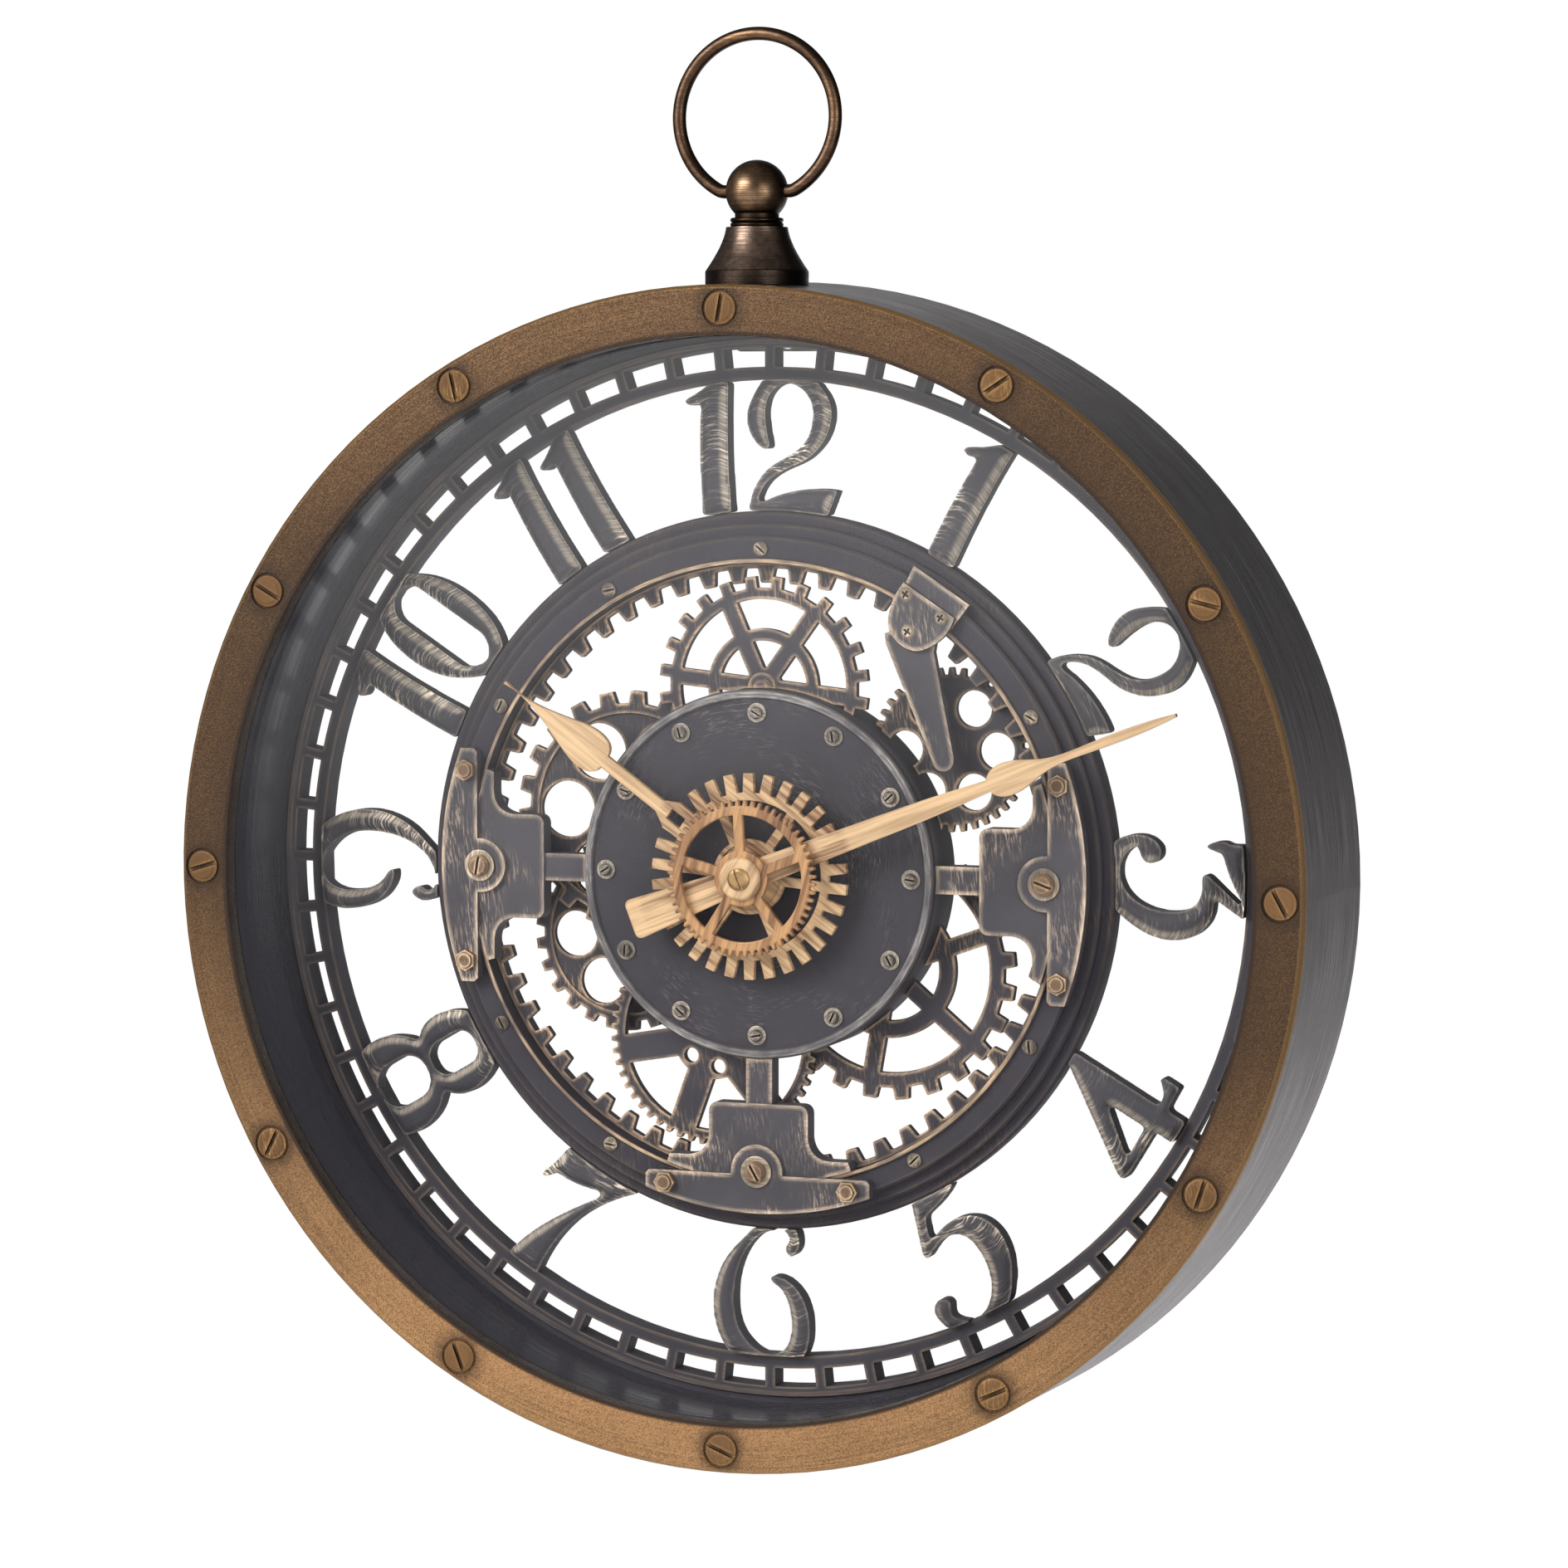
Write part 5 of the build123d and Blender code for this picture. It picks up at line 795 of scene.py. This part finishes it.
@dataclass
class Dial(SubAssembly):
    """The rings of the dial and the open gears inside."""

    title: str = "dial"
    ring_round: float = 0.0007
    gear_round: float = 0.0005
    bolt_round: float = 0.0004

    def dress(self) -> None:
        """Give the dial its finishes."""
        self.wear(Charcoal("chapter_charcoal", (82, 80, 86), edge=0.3, side=0.0), ["chapter_ring"],
                  self.ring_round)
        self.wear(Charcoal("ring_charcoal", (70, 67, 74), (226, 194, 158), side=0.0, stroke=0.1, lip_r=0.124),
                  ["inner_ring"], self.ring_round)
        self.wear(Charcoal("gear_charcoal", (80, 77, 83), edge=0.9, side=0.4, stroke=0.4),
                  ["ring_gear", "top_gear", "fine_gear_two", "upper_left_gear", "lower_left_gear",
                   "fine_gear_seven", "lower_right_gear"], self.gear_round, Rounding.AS_CUT)
        self.wear(Charcoal("bracket_charcoal", (92, 89, 94), (226, 202, 176), edge=1.0, edge_width=0.0022,
                           side=0.3, stroke=0.7),
                  ["bracket_left", "bracket_right", "bracket_bottom", "pawl_plate", "pawl_lever", "pawl_tab"],
                  self.gear_round)
        self.wear(Charcoal("old_steel", (88, 82, 78), (232, 210, 182), (46, 41, 38), edge=0.9,
                           edge_width=0.0011, side=0.2, stroke=0.6, recess_shade=0.9),
                  ["ring_screws", "pivot_washers", "pawl_screws"], self.fine_round)
        self.wear(Charcoal("bolt_bronze", (134, 108, 86), (238, 206, 170), (74, 56, 44), edge=1.0,
                           edge_width=0.0012, side=0.3, stroke=0.6, recess_shade=0.8),
                  ["hex_bolts", "pivot_bolts"], self.bolt_round)


@dataclass
class Centre(SubAssembly):
    """The disc in the middle with its ring of washered screws."""

    title: str = "centre"
    disc_round: float = 0.0005

    def dress(self) -> None:
        """Give the disc its finishes."""
        self.wear(Charcoal("disc_charcoal", (74, 71, 77), (206, 200, 194), edge=1.0, edge_width=0.0024,
                           side=0.0, stroke=0.16, round_share=1.0),
                  ["centre_disc"], self.disc_round)
        self.wear(Charcoal("disc_steel", (74, 70, 69), (216, 202, 184), (40, 37, 37), edge=0.8,
                           edge_width=0.001, side=0.2, stroke=0.4, recess_shade=0.9),
                  ["disc_screws", "disc_washers"], self.fine_round)


@dataclass
class Hands(SubAssembly):
    """The hands, the gears they carry and the cap over the middle."""

    title: str = "hands"
    hour_angle: float = 305.73
    minute_angle: float = 68.8
    hand_round: float = 0.0005
    cap_round: float = 0.0004

    def dress(self) -> None:
        """Give the hands their finishes."""
        honey = (242, 204, 156)
        self.wear(Grained("hour_grain", honey, angle=self.hour_angle), ["hour_hand"], self.hand_round)
        self.wear(Grained("minute_grain", honey, angle=self.minute_angle), ["minute_hand"], self.hand_round)
        self.wear(Grained("front_gear_grain", (212, 162, 110), (104, 64, 38), 15.0, burn=0.7),
                  ["front_gear"], self.hand_round, Rounding.AS_CUT)
        self.wear(Turned("cap_bronze", (150, 118, 80), (214, 178, 128), (70, 54, 38), 0.7),
                  ["hub_screw"], self.fine_round)
        self.wear(Grained("cap_grain", honey, angle=30.0, depth=0.7, gear_depth=0.7), ["hub_cap"],
                  self.cap_round)


@dataclass
class Movement(SubAssembly):
    """The battery movement behind the disc."""

    title: str = "movement"

    def dress(self) -> None:
        """Give the movement its finishes."""
        self.wear(Plain("movement_black", (40, 40, 42), (26, 26, 28), Make.SATIN_PLASTIC),
                  ["movement_housing", "rear_cover"])
        self.wear(Plain("drawn_brass", (206, 170, 96), (150, 116, 58), Make.BRIGHT_METAL),
                  ["hand_bush", "bush_nut", "minute_arbor"])
        self.wear(Plain("plated_steel", (186, 186, 184), (130, 130, 128), Make.SATIN_METAL),
                  ["cover_screws", "battery_contacts"])
        self.wear(Plain("washer_rubber", (36, 35, 35), (22, 22, 22), Make.RUBBER), ["mount_washer"])
        self.wear(Plain("wheel_white", (226, 224, 216), (196, 192, 182), Make.SATIN_PLASTIC),
                  ["hour_wheel", "minute_wheel", "setting_knob"])
        self.wear(Plain("cell_jacket", (52, 66, 92), (36, 44, 62), Make.SATIN_PLASTIC), ["battery"])
        self.wear(Plain("board_green", (44, 92, 62), (30, 66, 44), Make.SATIN_PLASTIC), ["circuit_board"])
        self.wear(Plain("copper_wire", (190, 108, 66), (132, 70, 40), Make.SATIN_METAL), ["motor_coil"])


@dataclass
class Studio:
    """Camera, lamps, pale floor and white surroundings."""

    azimuth: float = 19.609
    elevation: float = 4.441
    reach: float = 1.9527
    aim: tuple[float, float, float] = (-0.00274, 0.0, 0.03274)
    lens: float = 112.01
    floor_z: float = -0.85
    floor_half: float = 1.8
    dim_corner: float = 0.05
    dim_left: float = 0.1
    ambient: float = 0.5

    def camera(self) -> None:
        """Stand the camera where the picture was taken from."""
        turn, rise = radians(self.azimuth), radians(self.elevation)
        back = Vector((sin(turn) * cos(rise), -cos(turn) * cos(rise), sin(rise)))
        data = bpy.data.cameras.new("camera")
        data.lens = self.lens
        data.sensor_width = 36.0
        camera = bpy.data.objects.new("camera", data)
        camera.location = Vector(self.aim) + back * self.reach
        camera.rotation_euler = back.to_track_quat("Z", "Y").to_euler()
        bpy.context.scene.collection.objects.link(camera)
        bpy.context.scene.camera = camera

    def lamp(self, name: str, place: tuple[float, float, float], size: float, power: float) -> None:
        """Hang one soft square lamp that looks at the dial.

        Args:
            name: The lamp's name.
            place: Where it hangs, in metres.
            size: Length of its side in metres.
            power: Its power in watts.
        """
        data = bpy.data.lights.new(name, "AREA")
        data.size = size
        data.energy = power
        lamp = bpy.data.objects.new(name, data)
        lamp.location = place
        lamp.rotation_euler = Vector(place).to_track_quat("Z", "Y").to_euler()
        bpy.context.scene.collection.objects.link(lamp)

    def floor(self) -> None:
        """Lay the pale floor below the clock."""
        mesh = bpy.data.meshes.new("floor")
        shape = bmesh.new()
        bmesh.ops.create_grid(shape, x_segments=1, y_segments=1, size=self.floor_half)
        bmesh.ops.translate(shape, vec=(0.0, 0.0, self.floor_z), verts=shape.verts)
        shape.to_mesh(mesh)
        shape.free()
        floor = bpy.data.objects.new("floor", mesh)
        material, graph, shader = begin("floor_pale")
        cloud = graph.noise(graph.place(), 3.0, 3.0)
        graph.feed(shader.inputs["Base Color"], graph.mix(cloud, srgb(250, 250, 250), srgb(244, 244, 244)))
        x, y, _ = graph.add("SeparateXYZ", {0: graph.place()}).outputs
        graph.feed(shader.inputs["Alpha"], graph.step(graph.length(x, y), 0.4, self.floor_half, 1.0, 0.0))
        shader.inputs["Roughness"].default_value = 0.9
        mesh.materials.append(material)
        bpy.context.scene.collection.objects.link(floor)

    def surroundings(self) -> None:
        """Surround the clock with soft white, dim for gloss at the upper right and at the left."""
        world = bpy.data.worlds.new("white_room")
        world.use_nodes = True
        graph = Graph(world.node_tree)
        path = graph.add("LightPath").outputs
        x, y, z = graph.add("SeparateXYZ", {0: graph.add("TexCoord").outputs["Generated"]}).outputs
        corner = graph.step(graph.math("ADD", x, z), -0.4, 0.6, 1.0, self.dim_corner)
        left = graph.math("MULTIPLY", graph.step(x, -0.15, -0.6), graph.step(y, -0.6, -0.2))
        room = graph.math("MULTIPLY", corner, graph.step(left, 0.0, 1.0, 1.0, self.dim_left))
        seen = graph.math("MAXIMUM", path["Is Camera Ray"], path["Is Transmission Ray"])
        seen = graph.math("MAXIMUM", seen, graph.math("MULTIPLY", path["Is Glossy Ray"], room))
        matt = graph.math("MULTIPLY", path["Is Diffuse Ray"], self.ambient)
        strength = graph.math("MAXIMUM", seen, matt)
        light = graph.add("Background", {"Color": WHITE, "Strength": strength})
        output = graph.add("OutputWorld")
        graph.feed(output.inputs["Surface"], light.outputs[0])
        bpy.context.scene.world = world

    def build(self) -> None:
        """Set up everything round the clock."""
        bpy.context.scene.view_settings.view_transform = "Standard"
        self.camera()
        self.lamp("key", (-1.7, -2.4, 1.5), 1.8, 62.0)
        self.lamp("fill", (1.9, -1.8, 0.3), 1.4, 16.0)
        self.floor()
        self.surroundings()


def main() -> None:
    """Build the studio and dress the clock, one sub-assembly at a time."""
    logging.basicConfig(level=logging.INFO, format="%(message)s")
    build_effects()
    Studio().build()
    for part in (CaseWork(), Pendant(), Dial(), Numerals(), Centre(), Hands(), Movement()):
        part.dress()
        log.info("%s done", part.title)


if __name__ == "__main__":
    main()
